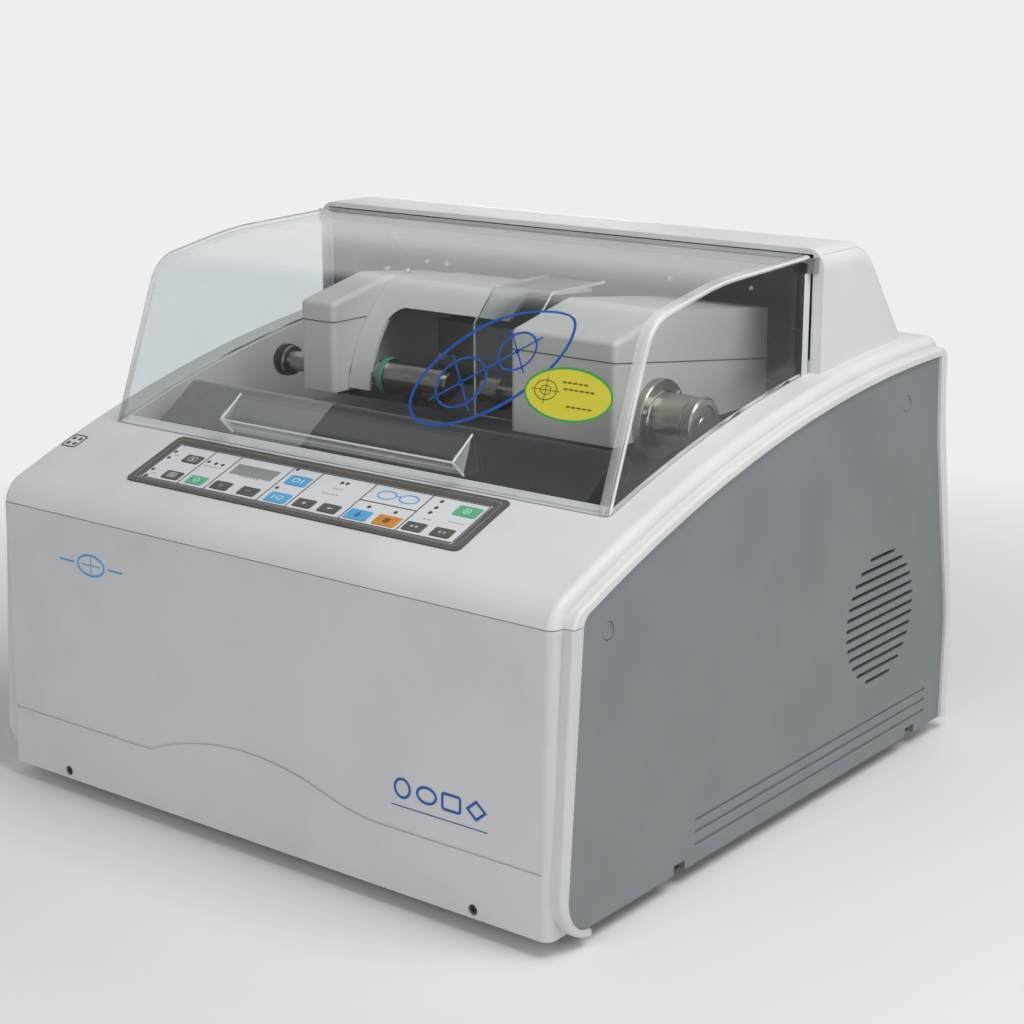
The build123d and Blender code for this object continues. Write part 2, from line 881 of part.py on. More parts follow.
with BuildPart() as mains_inlet:
    block(
        (inlet_x - inlet_half[0], inlet_x + inlet_half[0]),
        (inlet_face_y - inlet_depth, inlet_face_y + inlet_rim_thickness / 2),
        (inlet_z - inlet_half[1], inlet_z + inlet_half[1]),
    )
    block(
        (inlet_x - inlet_half[0] - inlet_rim[0], inlet_x + inlet_half[0] + inlet_rim[0]),
        (inlet_face_y, inlet_face_y + inlet_rim_thickness),
        (inlet_z - inlet_half[1] - inlet_rim[1], inlet_z + inlet_half[1] + inlet_rim[1]),
    )
    block(
        (inlet_x - socket_size[0] / 2, inlet_x + socket_size[0] / 2),
        (inlet_face_y - inlet_depth + socket_floor, inlet_face_y + 2 * inlet_rim_thickness),
        (inlet_z - socket_size[1] / 2, inlet_z + socket_size[1] / 2),
        mode=Mode.SUBTRACT,
    )
    for pin_x, pin_z in pin_places:
        block(
            (inlet_x + pin_x - pin_half_width, inlet_x + pin_x + pin_half_width),
            (inlet_face_y - inlet_depth + socket_floor - 1, inlet_face_y - inlet_rim_thickness),
            (inlet_z + pin_z - pin_low, inlet_z + pin_z + pin_high),
        )
    # frame of the mains switch
    block(
        (rocker_x - rocker_half[0] - rocker_frame, rocker_x + rocker_half[0] + rocker_frame),
        (inlet_face_y - inlet_depth, inlet_face_y + inlet_rim_thickness),
        (inlet_z - rocker_half[1] - rocker_frame, inlet_z + rocker_half[1] + rocker_frame),
    )
    block(
        (rocker_x - rocker_half[0] - seat_gap, rocker_x + rocker_half[0] + seat_gap),
        (inlet_face_y - inlet_depth + rocker_shoulder, inlet_face_y + 2 * inlet_rim_thickness),
        (inlet_z - rocker_half[1] - 1, inlet_z + rocker_half[1] + 1),
        mode=Mode.SUBTRACT,
    )
    rod(
        (rocker_x - rocker_half[0] - 1, rocker_x + rocker_half[0] + 1),
        inlet_face_y - rocker_pin_depth,
        inlet_z,
        rocker_pin_radius,
    )
mains_inlet.part.label = "mains_inlet"
export_step(mains_inlet.part, "parts/mains_inlet.step")

# the rocker lies tipped in its off position, on the pivot of its frame
rocker_lean = radians(rocker_tilt)
rocker_plane = Plane(
    origin=(rocker_x, inlet_face_y - rocker_pin_depth, inlet_z),
    x_dir=(0, cos(rocker_lean), sin(rocker_lean)),
    z_dir=(1, 0, 0),
)
rocker_end = rocker_half[1] - 1
with BuildPart() as rocker_switch:
    with BuildSketch(rocker_plane):
        with BuildLine():
            Polyline(
                (-rocker_pin_depth, -rocker_end / 2),
                (rocker_shoulder, -rocker_end),
                (rocker_crest, -rocker_end),
                (rocker_saddle, 0),
                (rocker_crest, rocker_end),
                (rocker_shoulder, rocker_end),
                (-rocker_pin_depth, rocker_end / 2),
                close=True,
            )
        make_face()
        Circle(rocker_pin_radius + shaft_gap, mode=Mode.SUBTRACT)
    extrude(amount=rocker_size[0] / 2, both=True)
rocker_switch.part.label = "rocker_switch"
export_step(rocker_switch.part, "parts/rocker_switch.step")

# ---------------------------------------------------------------- control panel
with BuildPart() as keypad_bezel:
    with BuildSketch(control_plane.offset(-bezel_depth)):
        with Locations((0, bezel_rise)):
            RectangleRounded(*bezel_size, bezel_radius)
        Rectangle(*window_size, mode=Mode.SUBTRACT)
    extrude(amount=bezel_depth + bezel_proud)
keypad_bezel.part.label = "keypad_bezel"
export_step(keypad_bezel.part, "parts/keypad_bezel.step")

with BuildPart() as keypad_overlay:
    with BuildSketch(control_plane.offset(-bezel_depth)):
        Rectangle(window_size[0] - 2 * seat_gap, window_size[1] - 2 * seat_gap)
        for key_x, key_v, key_size in key_layout.values():
            with Locations((key_x, key_v)):
                RectangleRounded(
                    key_size[0] + 2 * seat_gap,
                    key_size[1] + 2 * seat_gap,
                    key_corner_radius + seat_gap,
                    mode=Mode.SUBTRACT,
                )
        with Locations(display_place):
            Rectangle(*display_size, mode=Mode.SUBTRACT)
    extrude(amount=bezel_depth + overlay_proud)
keypad_overlay.part.label = "keypad_overlay"
export_step(keypad_overlay.part, "parts/keypad_overlay.step")

with BuildPart() as display_window:
    with BuildSketch(control_plane.offset(-bezel_depth)):
        with Locations(display_place):
            Rectangle(*display_size)
    extrude(amount=bezel_depth + overlay_proud / 2)
display_window.part.label = "display_window"
export_step(display_window.part, "parts/display_window.step")

key_under = bezel_depth + seat_gap
for key_name, (key_x, key_v, key_size) in key_layout.items():
    with BuildPart() as key:
        with BuildSketch(control_plane.offset(-key_under - key_flange_thickness)):
            with Locations((key_x, key_v)):
                RectangleRounded(*key_size, key_corner_radius)
        extrude(amount=key_under + key_flange_thickness + key_proud)
        top_edges = key.faces().sort_by(Axis((0, 0, 0), control_plane.z_dir))[-1].edges()
        fillet(top_edges, overlay_proud)
        with BuildSketch(control_plane.offset(-key_under - key_flange_thickness)):
            with Locations((key_x, key_v)):
                Rectangle(key_size[0] + 2 * key_flange, key_size[1] + 2 * key_flange)
        extrude(amount=key_flange_thickness)
        with BuildSketch(control_plane.offset(-board_depth + seat_gap + travel_gap)):
            with Locations((key_x, key_v)):
                Circle(key_stem_radius)
        extrude(amount=board_depth - seat_gap - travel_gap - key_under)
    key.part.label = key_name
    export_step(key.part, f"parts/{key_name}.step")

# ---------------------------------------------------------------- inner deck, basin, guard
with BuildPart() as inner_deck:
    block(
        (-well_half_width + seat_gap, well_half_width - seat_gap),
        (well_front_y + seat_gap, deck_rear_y),
        (deck_top_z - deck_thickness, deck_top_z),
    )
    block(
        (-well_half_width - well_wall, well_half_width + well_wall),
        (well_front_y - well_wall, deck_rear_y),
        (deck_top_z - 2 * deck_thickness, deck_top_z - deck_thickness),
    )
    block(basin_x, basin_y, (deck_top_z - 3 * deck_thickness, deck_top_z + 1), mode=Mode.SUBTRACT)
inner_deck.part.label = "inner_deck"
export_step(inner_deck.part, "parts/inner_deck.step")

deck_under_z = deck_top_z - 2 * deck_thickness
outer_basin_x = (basin_x[0] - basin_wall, basin_x[1] + basin_wall)
outer_basin_y = (basin_y[0] - basin_wall, basin_y[1] + basin_wall)

with BuildPart() as grinding_basin:
    block(outer_basin_x, outer_basin_y, (basin_floor_z - basin_wall, deck_under_z))
    fillet(grinding_basin.edges().filter_by(Axis.Z), basin_radius)
    block(
        (outer_basin_x[0] - basin_lip, outer_basin_x[1] + basin_lip),
        (outer_basin_y[0] - basin_lip, outer_basin_y[1] + basin_lip),
        (deck_under_z - basin_wall, deck_under_z),
    )
    with BuildSketch(Plane.XY.offset(basin_floor_z)):
        with Locations((middle(basin_x), middle(basin_y))):
            RectangleRounded(basin_x[1] - basin_x[0], basin_y[1] - basin_y[0], basin_radius - basin_wall)
    extrude(amount=deck_top_z - basin_floor_z, mode=Mode.SUBTRACT)
    rod(
        (basin_x[1] - 1, housing_x[0]),
        spindle_y,
        spindle_z,
        spindle_radius + 2 * seat_gap,
        mode=Mode.SUBTRACT,
    )
    with Locations((drain_x, lens_y, basin_floor_z - basin_wall)):
        Cylinder(drain_radius - drain_wall, 4 * basin_wall, mode=Mode.SUBTRACT)
    rod_y(
        water_x,
        (basin_y[1] - 1, basin_y[1] + 2 * basin_wall),
        water_z,
        water_radius + seat_gap,
        mode=Mode.SUBTRACT,
    )
grinding_basin.part.label = "grinding_basin"
export_step(grinding_basin.part, "parts/grinding_basin.step")


def guard_outline(inset=0.0):
    """Section of the guard, open below when inset."""
    foot_z = deck_top_z - (2 * guard_wall if inset else 0)
    rear_top_z = guard_crest[1] - guard_crest_radius
    with BuildSketch(Plane.YZ) as outline:
        with BuildLine():
            Polyline(
                (guard_foot_y, foot_z),
                (guard_foot_y, guard_knee_z),
                guard_crest,
                (guard_rear_y, rear_top_z),
                (guard_rear_y, foot_z),
                close=True,
            )
        make_face()
        fillet(corner_of(outline, guard_crest), guard_crest_radius)
        if inset:
            offset(amount=-inset)
    return outline.sketch


guard_sections = (
    (guard_x[0], guard_split_x - seat_gap),
    (guard_split_x, guard_x[1]),
)
with BuildPart() as front_guard:
    for section in guard_sections:
        extrude(guard_outline().moved(Location((section[0], 0, 0))), amount=section[1] - section[0])
        extrude(
            guard_outline(guard_wall).moved(Location((section[0] + guard_wall, 0, 0))),
            amount=section[1] - section[0] - 2 * guard_wall,
            mode=Mode.SUBTRACT,
        )
front_guard.part.label = "front_guard"
export_step(front_guard.part, "parts/front_guard.step")

# ---------------------------------------------------------------- water and waste
water_inlet_z = rear_panel_z[1] - 4 * water_radius
riser_y = basin_y[1] + basin_wall + basin_lip + 2 * water_radius
riser_z = (water_inlet_z - water_radius - 2, water_z + water_radius + 2)
with BuildPart() as water_pipes:
    # supply: socket at the rear panel, pipe to the basin and a down-turned nozzle
    rod_y(water_x, (riser_y, rear_panel_y + 3 * rear_panel_sheet), water_inlet_z, water_radius)
    rod_y(
        water_x,
        (rear_panel_y - water_socket_length, rear_panel_y - seat_gap),
        water_inlet_z,
        1.6 * water_radius,
    )
    rod_y(water_x, (basin_y[1] - water_reach, riser_y), water_z, water_radius)
    with Locations((water_x, riser_y, middle(riser_z))):
        Cylinder(water_radius + 1, riser_z[1] - riser_z[0])
    # waste: spigot from the basin floor to below the base
    with Locations((drain_x, lens_y, (basin_floor_z - basin_wall + drain_end_z) / 2)):
        Cylinder(drain_radius, basin_floor_z - basin_wall - drain_end_z)
        Cylinder(drain_radius - drain_wall, basin_floor_z, mode=Mode.SUBTRACT)
water_pipes.part.label = "water_pipes"
export_step(water_pipes.part, "parts/water_pipes.step")

# ---------------------------------------------------------------- transparent cover
with BuildPart() as clear_cover:
    extrude(cover_outline(), amount=cover_half_width, both=True)
    brow_edges = clear_cover.faces().filter_by(Axis.X).edges()
    brow_edges = brow_edges.filter_by_position(Axis.Y, cover_foot[0] - cover_brow_radius, hood_front_y)
    fillet(brow_edges.filter_by_position(Axis.Z, cover_foot[1], hood_top_z), cover_edge_radius)
    with BuildSketch(Plane.YZ) as grip:
        with BuildLine():
            Polyline(grip_top, grip_nose, grip_heel, (cover_brow[0], grip_heel[1]), close=True)
        make_face()
        fillet(corner_of(grip, grip_nose), 2 * grip_wall)
    extrude(amount=grip_half_length, both=True)
    extrude(
        cover_outline(cover_wall),
        amount=cover_half_width - cover_wall,
        both=True,
        mode=Mode.SUBTRACT,
    )
    extrude(
        offset(grip.sketch, amount=-grip_wall, mode=Mode.PRIVATE),
        amount=grip_half_length - grip_wall,
        both=True,
        mode=Mode.SUBTRACT,
    )
    extrude(
        offset(case_outline(), amount=cover_lift, mode=Mode.PRIVATE),
        amount=half_width,
        both=True,
        mode=Mode.SUBTRACT,
    )
    block(
        (-half_width, half_width),
        (cover_rear_y, hood_crest_y + case_wall),
        (0, hood_top_z),
        mode=Mode.SUBTRACT,
    )
    rod(
        (-half_width, half_width),
        hinge_y,
        hinge_z,
        hinge_pin_radius + shaft_gap,
        mode=Mode.SUBTRACT,
    )
clear_cover.part.label = "clear_cover"
export_step(clear_cover.part, "parts/clear_cover.step")

with BuildPart() as cover_hinges:
    for side in (-1, 1):
        block(
            sorted((side * hinge_ear[0], side * hinge_ear[1])),
            (hinge_y - hinge_ear_rise, hood_front_y),
            (hinge_z - hinge_ear_drop, hinge_z + hinge_ear_rise),
        )
        rod(
            sorted((side * (cover_half_width - 4 * cover_wall), side * hinge_ear[1])),
            hinge_y,
            hinge_z,
            hinge_pin_radius,
        )
cover_hinges.part.label = "cover_hinges"
export_step(cover_hinges.part, "parts/cover_hinges.step")

# ---------------------------------------------------------------- guide shaft and slide
with BuildPart() as guide_shaft:
    rod((-guide_half_length, guide_half_length), guide_y, guide_z, guide_radius)
    for side in (-1, 1):
        block(
            sorted((side * pedestal_x[0], side * pedestal_x[1])),
            pedestal_y,
            (base_top_z, guide_z + 2 * guide_radius),
        )
guide_shaft.part.label = "guide_shaft"
export_step(guide_shaft.part, "parts/guide_shaft.step")

with BuildPart() as carriage_sleeve:
    rod(sleeve_ends, guide_y, guide_z, sleeve_radius)
    rod((sleeve_ends[0], sleeve_ends[0] + 3 * sleeve_wall), guide_y, guide_z, sleeve_radius + sleeve_wall)
    rod(sleeve_ends, guide_y, guide_z, guide_radius + shaft_gap, mode=Mode.SUBTRACT)
carriage_sleeve.part.label = "carriage_sleeve"
export_step(carriage_sleeve.part, "parts/carriage_sleeve.step")

# ---------------------------------------------------------------- head casting
inner_step = cover_skin + seat_gap
left_cast_x = (left_arm_x[0] + inner_step, left_arm_x[1] - inner_step)
right_cast_x = (right_arm_x[0] + inner_step, right_arm_x[1] - inner_step)
left_cast_front = left_arm_y[0] + inner_step
right_cast_front = right_arm_y[0] + inner_step
cast_floor_z = arm_floor_z + seat_gap
cast_top_z = lens_z + casting_height
cast_thin_web = 4.5
left_pocket_x = (left_cast_x[0] + cast_thin_web, left_cast_x[1] - cast_thin_web)
left_pocket_y = (left_cast_front + casting_web, bridge_y)
right_pocket_x = (right_cast_x[0] + casting_web, right_cast_x[1] - casting_web)
right_pocket_y = (right_cast_front + casting_web, bridge_y)

with BuildPart() as head_casting:
    rod((left_cast_x[0], right_cast_x[1]), guide_y, guide_z, hub_radius)
    block((left_cast_x[0], right_cast_x[1]), (bridge_y, guide_y), (lens_z, cast_top_z))
    block(left_cast_x, (left_cast_front, bridge_y), (cast_floor_z, cast_top_z))
    block(right_cast_x, (right_cast_front, bridge_y), (cast_floor_z, cast_top_z))
    block(left_pocket_x, left_pocket_y, (cast_floor_z, cast_top_z), mode=Mode.SUBTRACT)
    block(right_pocket_x, right_pocket_y, (cast_floor_z, cast_top_z), mode=Mode.SUBTRACT)
    rod((left_cast_x[0], right_cast_x[1]), guide_y, guide_z, sleeve_radius + shaft_gap, mode=Mode.SUBTRACT)
    rod(left_cast_x, lens_y, lens_z, lens_shaft_radius + shaft_gap, mode=Mode.SUBTRACT)
    rod(right_cast_x, lens_y, lens_z, quill_radius + shaft_gap, mode=Mode.SUBTRACT)
head_casting.part.label = "head_casting"
export_step(head_casting.part, "parts/head_casting.step")

with BuildPart() as lens_motor:
    block(
        (left_pocket_x[0] + seat_gap, left_pocket_x[1] - seat_gap),
        (left_pocket_y[0] + seat_gap, left_pocket_y[1] - seat_gap),
        (cast_floor_z, lens_z + 2 * lens_shaft_radius),
    )
    rod(left_pocket_x, lens_y, lens_z, lens_shaft_radius + shaft_gap, mode=Mode.SUBTRACT)
lens_motor.part.label = "lens_motor"
export_step(lens_motor.part, "parts/lens_motor.step")


# ---------------------------------------------------------------- arm covers
def arm_side(front_y, rear_y, front_z, rear_z, floor_z):
    """Side view of a lower arm cover under its seam."""
    with BuildSketch(Plane.YZ) as outline:
        with BuildLine():
            Polyline((front_y, floor_z), (front_y, front_z), (rear_y, rear_z), (rear_y, floor_z), close=True)
        make_face()
    return outline.sketch


def lid_side(front_y, rear_y, seam_front_z, seam_rear_z, lid_front_z, crest, lid_rear_z):
    """Side view of an arm lid above its seam."""
    with BuildSketch(Plane.YZ) as outline:
        with BuildLine():
            Polyline(
                (front_y, seam_front_z),
                (front_y, lid_front_z),
                crest,
                (rear_y, lid_rear_z),
                (rear_y, seam_rear_z),
                close=True,
            )
        make_face()
        fillet(corner_of(outline, (front_y, lid_front_z)), arm_corner_radius)
    return outline.sketch


arm_specs = {
    "left": (
        left_arm_x,
        arm_side(*left_arm_y, left_seam_z, left_seam_z, arm_floor_z),
        lid_side(
            *left_arm_y,
            left_seam_z + seat_gap,
            left_seam_z + seat_gap,
            left_lid_front_z,
            left_lid_crest,
            left_lid_rear_z,
        ),
    ),
    "right": (
        right_arm_x,
        arm_side(*right_arm_y, right_seam_front_z, right_seam_rear_z, arm_floor_z),
        lid_side(
            *right_arm_y,
            right_seam_front_z + seat_gap,
            right_seam_rear_z + seat_gap,
            right_lid_front_z,
            right_lid_crest,
            right_lid_rear_z,
        ),
    ),
}

for arm_name, (arm_x, lower_face, lid_face) in arm_specs.items():
    arm_width = arm_x[1] - arm_x[0]
    arm_y = left_arm_y if arm_name == "left" else right_arm_y
    inner_x = (arm_x[0] + cover_skin, arm_x[1] - cover_skin)
    inner_y = (arm_y[0] + cover_skin, arm_y[1] + cover_skin)
    # the bridge of the casting leaves each arm on the side of the lens
    bridge_way = (inner_x[0], arm_x[1] + 1) if arm_name == "left" else (arm_x[0] - 1, inner_x[1])
    with BuildPart() as arm_cover:
        extrude(lower_face.moved(Location((arm_x[0], 0, 0))), amount=arm_width)
        fillet(arm_cover.edges().filter_by(Axis.Z).group_by(Axis.Y)[0], arm_corner_radius)
        block(inner_x, inner_y, (0, hood_top_z), mode=Mode.SUBTRACT)
        rod(arm_x, lens_y, lens_z, chuck_radius + seat_gap, mode=Mode.SUBTRACT)
        rod(bridge_way, guide_y, guide_z, hub_radius + seat_gap, mode=Mode.SUBTRACT)
        block(bridge_way, (bridge_y - seat_gap, guide_y), (0, cast_top_z + seat_gap), mode=Mode.SUBTRACT)
    arm_cover.part.label = f"{arm_name}_arm_cover"
    export_step(arm_cover.part, f"parts/{arm_name}_arm_cover.step")

    with BuildPart() as arm_lid:
        extrude(lid_face.moved(Location((arm_x[0], 0, 0))), amount=arm_width)
        fillet(arm_lid.edges().filter_by(Axis.Z).group_by(Axis.Y)[0], arm_corner_radius)
        lid_cavity = offset(lid_face, amount=-cover_skin, mode=Mode.PRIVATE)
        extrude(
            lid_cavity.moved(Location((inner_x[0], 0, 0))),
            amount=inner_x[1] - inner_x[0],
            mode=Mode.SUBTRACT,
        )
        extrude(
            lid_cavity.moved(Location((inner_x[0], 0, -2 * cover_skin))),
            amount=inner_x[1] - inner_x[0],
            mode=Mode.SUBTRACT,
        )
        block(bridge_way, (bridge_y - seat_gap, guide_y), (0, cast_top_z + seat_gap), mode=Mode.SUBTRACT)
    arm_lid.part.label = f"{arm_name}_arm_lid"
    export_step(arm_lid.part, f"parts/{arm_name}_arm_lid.step")

# ---------------------------------------------------------------- arch cover and splash shield
with BuildPart() as arch_cover:
    with BuildSketch(Plane.YZ.offset(arch_x[0])):
        with BuildLine():
            rise_line = ThreePointArc(arch_front, arch_knee, arch_crown)
            Line(rise_line @ 1, arch_rear)
            offset(amount=cover_skin, side=Side.RIGHT)
        make_face()
    extrude(amount=arch_x[1] - arch_x[0])
    with BuildSketch(Plane.XZ.offset(-arch_front[0] + 4 * cover_skin)):
        with Locations((middle(mouth_x), mouth_top_z - mouth_radius)):
            RectangleRounded(mouth_x[1] - mouth_x[0], 4 * mouth_radius, mouth_radius)
        with Locations((middle(mouth_x), arch_front[1])):
            Rectangle(mouth_x[1] - mouth_x[0], 2 * mouth_radius)
    extrude(amount=-4 * mouth_radius, mode=Mode.SUBTRACT)
arch_cover.part.label = "arch_cover"
export_step(arch_cover.part, "parts/arch_cover.step")

with BuildPart() as splash_shield:
    with BuildSketch(Plane.YZ.offset(shield_x[0])) as shield_side:
        with BuildLine():
            Polyline(
                (shield_front_y, arm_floor_z),
                (shield_front_y, shield_top_z - shield_radius / 2),
                (shield_front_y + shield_radius / 2, shield_top_z),
                (shield_rear_y, shield_top_z),
            )
            offset(amount=shield_wall, side=Side.RIGHT)
        make_face()
    extrude(amount=shield_x[1] - shield_x[0])
splash_shield.part.label = "splash_shield"
export_step(splash_shield.part, "parts/splash_shield.step")

# ---------------------------------------------------------------- lens shafts
with BuildPart() as lens_shaft:
    rod((lens_shaft_end_x, chuck_x[0]), lens_y, lens_z, lens_shaft_radius)
    rod(chuck_x, lens_y, lens_z, chuck_radius)
    rod((chuck_x[1], chuck_x[1] + pad_thickness), lens_y, lens_z, pad_radius)
    rod(ring_x, lens_y, lens_z, ring_radius)
lens_shaft.part.label = "lens_shaft"
export_step(lens_shaft.part, "parts/lens_shaft.step")

with BuildPart() as pattern_knob:
    rod((lens_shaft_end_x - knob_length, lens_shaft_end_x), lens_y, lens_z, knob_radius)
    fillet(pattern_knob.faces().sort_by(Axis.X)[0].edges(), 2)
pattern_knob.part.label = "pattern_knob"
export_step(pattern_knob.part, "parts/pattern_knob.step")

quill_x = (right_arm_x[0] + seat_gap, right_arm_x[1])
with BuildPart() as clamp_quill:
    rod(quill_x, lens_y, lens_z, quill_radius)
    rod((right_pocket_x[0] + seat_gap, right_pocket_x[0] + casting_web), lens_y, lens_z, chuck_radius)
    rod(quill_x, lens_y, lens_z, clamp_radius + shaft_gap, mode=Mode.SUBTRACT)
clamp_quill.part.label = "clamp_quill"
export_step(clamp_quill.part, "parts/clamp_quill.step")

with BuildPart() as clamp_shaft:
    rod((clamp_face_x, clamp_tail_x), lens_y, lens_z, clamp_radius)
    rod((clamp_face_x, clamp_face_x + pad_thickness), lens_y, lens_z, pad_radius)
    rod(
        (clamp_face_x + pad_thickness, clamp_face_x + pad_thickness + clamp_head_length),
        lens_y,
        lens_z,
        chuck_radius,
    )
clamp_shaft.part.label = "clamp_shaft"
export_step(clamp_shaft.part, "parts/clamp_shaft.step")

with BuildPart() as clamp_cylinder:
    rod((right_arm_x[1], right_arm_x[1] + flange_thickness), lens_y, lens_z, flange_radius)
    rod((right_arm_x[1], cylinder_end_x), lens_y, lens_z, cylinder_radius)
    rod(
        (right_arm_x[1] - 1, cylinder_end_x - cylinder_cap),
        lens_y,
        lens_z,
        cylinder_bore,
        mode=Mode.SUBTRACT,
    )
    rod(
        (cylinder_end_x - cylinder_cap / 2, cylinder_end_x),
        lens_y,
        lens_z,
        cylinder_bore,
        mode=Mode.SUBTRACT,
    )
    flange_face = Plane(origin=(flange_end_x, lens_y, lens_z), x_dir=(0, 1, 0), z_dir=(1, 0, 0))
    with BuildSketch(flange_face):
        with PolarLocations((flange_radius + cylinder_radius) / 2, 4, start_angle=45):
            Circle(screw_shank_radius + 0.4)
    extrude(amount=screw_head_height)
clamp_cylinder.part.label = "clamp_cylinder"
export_step(clamp_cylinder.part, "parts/clamp_cylinder.step")

# ---------------------------------------------------------------- wheels and spindle
wheel_sections = {
    "rough_wheel": (wheel_stack_x, rough_width),
    "bevel_wheel": (wheel_stack_x + rough_width, bevel_width),
    "polish_wheel": (wheel_stack_x + rough_width + bevel_width, polish_width),
}
for wheel_name, (wheel_start, wheel_width) in wheel_sections.items():
    wheel_face = Plane.YZ.offset(wheel_start)
    with BuildPart() as wheel:
        with BuildSketch(wheel_face):
            with Locations((spindle_y, spindle_z)):
                Circle(wheel_radius)
                Circle(spindle_radius, mode=Mode.SUBTRACT)
        extrude(amount=wheel_width)
        if wheel_name != "rough_wheel":
            # V groove that forms the bevel
            with BuildSketch(Plane.XY) as groove:
                with BuildLine():
                    Polyline(
                        (wheel_start + wheel_width / 2 - bevel_groove, wheel_radius + 1),
                        (wheel_start + wheel_width / 2, wheel_radius - bevel_groove),
                        (wheel_start + wheel_width / 2 + bevel_groove, wheel_radius + 1),
                        close=True,
                    )
                make_face()
            groove_face = groove.sketch.moved(Location((0, spindle_y, spindle_z)))
            revolve(
                groove_face,
                Axis((0, spindle_y, spindle_z), (1, 0, 0)),
                360,
                mode=Mode.SUBTRACT,
            )
    wheel.part.label = wheel_name
    export_step(wheel.part, f"parts/{wheel_name}.step")

with BuildPart() as wheel_spindle:
    rod((wheel_stack_x - nut_width, pulley_x[1]), spindle_y, spindle_z, spindle_radius)
    rod((wheel_stack_x - nut_width, wheel_stack_x), spindle_y, spindle_z, nut_radius)
    rod((wheel_end_x, wheel_end_x + nut_width), spindle_y, spindle_z, nut_radius)
    rod(pulley_x, spindle_y, spindle_z, spindle_pulley_radius)
    for flange_start in (pulley_x[0], pulley_x[1] - pulley_flange):
        rod(
            (flange_start, flange_start + pulley_flange),
            spindle_y,
            spindle_z,
            spindle_pulley_radius + 1.5 * belt_thickness,
        )
wheel_spindle.part.label = "wheel_spindle"
export_step(wheel_spindle.part, "parts/wheel_spindle.step")

with BuildPart() as spindle_housing:
    rod(housing_x, spindle_y, spindle_z, housing_radius)
    block(
        housing_x,
        (spindle_y - housing_radius, spindle_y + housing_radius),
        (base_top_z, spindle_z),
    )
    block(
        (housing_x[0] + casting_web, housing_x[1] - casting_web),
        (spindle_y - 2 * housing_radius, spindle_y + 2 * housing_radius),
        (base_top_z, spindle_z - housing_radius - casting_web),
        mode=Mode.SUBTRACT,
    )
    rod(housing_x, spindle_y, spindle_z, spindle_radius + spindle_room, mode=Mode.SUBTRACT)
    for bearing_x in (housing_x[0], housing_x[1] - housing_bearing_width):
        rod(
            (bearing_x, bearing_x + housing_bearing_width),
            spindle_y,
            spindle_z,
            housing_bearing_radius,
            mode=Mode.SUBTRACT,
        )

with BuildPart() as spindle_bearings:
    for bearing_x in (housing_x[0], housing_x[1] - housing_bearing_width):
        rod((bearing_x, bearing_x + housing_bearing_width), spindle_y, spindle_z, housing_bearing_radius)
        rod(
            (bearing_x, bearing_x + housing_bearing_width),
            spindle_y,
            spindle_z,
            spindle_radius + shaft_gap,
            mode=Mode.SUBTRACT,
        )
housing_set = Compound(label="spindle_housing", children=[spindle_housing.part, spindle_bearings.part])
export_step(housing_set, "parts/spindle_housing.step")

# ---------------------------------------------------------------- drive motor, pulley and belt
with BuildPart() as drive_motor:
    rod(drive_x, drive_y, drive_z, drive_radius)
    fillet(drive_motor.faces().filter_by(Axis.X).edges(), arm_corner_radius)
    block(
        (drive_x[0] + casting_web, drive_x[1] - casting_web),
        (drive_y - drive_radius, drive_y + drive_radius),
        (base_top_z, drive_z - drive_radius / 2),
    )
    rod(
        (middle(drive_x), drive_x[1] + 1),
        drive_y,
        drive_z,
        drive_shaft_radius + shaft_gap,
        mode=Mode.SUBTRACT,
    )
drive_motor.part.label = "drive_motor"
export_step(drive_motor.part, "parts/drive_motor.step")

with BuildPart() as motor_pulley:
    rod((middle(drive_x) + seat_gap, pulley_x[1]), drive_y, drive_z, drive_shaft_radius)
    rod(pulley_x, drive_y, drive_z, drive_pulley_radius)
    for flange_start in (pulley_x[0], pulley_x[1] - pulley_flange):
        rod(
            (flange_start, flange_start + pulley_flange),
            drive_y,
            drive_z,
            drive_pulley_radius + 1.5 * belt_thickness,
        )
motor_pulley.part.label = "motor_pulley"
export_step(motor_pulley.part, "parts/motor_pulley.step")

belt_x = (pulley_x[0] + pulley_flange + seat_gap, pulley_x[1] - pulley_flange - seat_gap)


def belt_loop(grow):
    """Hull of both pulleys, seen from the side."""
    with BuildSketch(Plane.YZ.offset(belt_x[0])) as loop:
        with Locations((spindle_y, spindle_z)):
            Circle(spindle_pulley_radius + grow)
        with Locations((drive_y, drive_z)):
            Circle(drive_pulley_radius + grow)
        make_hull()
    return loop.sketch


with BuildPart() as drive_belt:
    extrude(belt_loop(seat_gap + belt_thickness), amount=belt_x[1] - belt_x[0])
    extrude(belt_loop(seat_gap), amount=belt_x[1] - belt_x[0], mode=Mode.SUBTRACT)
drive_belt.part.label = "drive_belt"
export_step(drive_belt.part, "parts/drive_belt.step")

# ---------------------------------------------------------------- fan
fan_x = (panel_inner_x - seat_gap - fan_depth, panel_inner_x - seat_gap)
with BuildPart() as fan_frame:
    block(
        fan_x,
        (vent_y - fan_size / 2, vent_y + fan_size / 2),
        (vent_z - fan_size / 2, vent_z + fan_size / 2),
    )
    rod(fan_x, vent_y, vent_z, fan_bore, mode=Mode.SUBTRACT)
    # motor hub on struts at the inner face
    rod((fan_x[0], fan_x[0] + fan_strut[0]), vent_y, vent_z, fan_hub_radius)
    for strut_angle in range(0, 360, 90):
        with Locations(Location((fan_x[0] + fan_strut[0] / 2, vent_y, vent_z), (strut_angle, 0, 0))):
            with Locations((0, fan_bore / 2, 0)):
                Box(fan_strut[0], fan_bore + 4, fan_strut[1])
fan_frame.part.label = "fan_frame"
export_step(fan_frame.part, "parts/fan_frame.step")

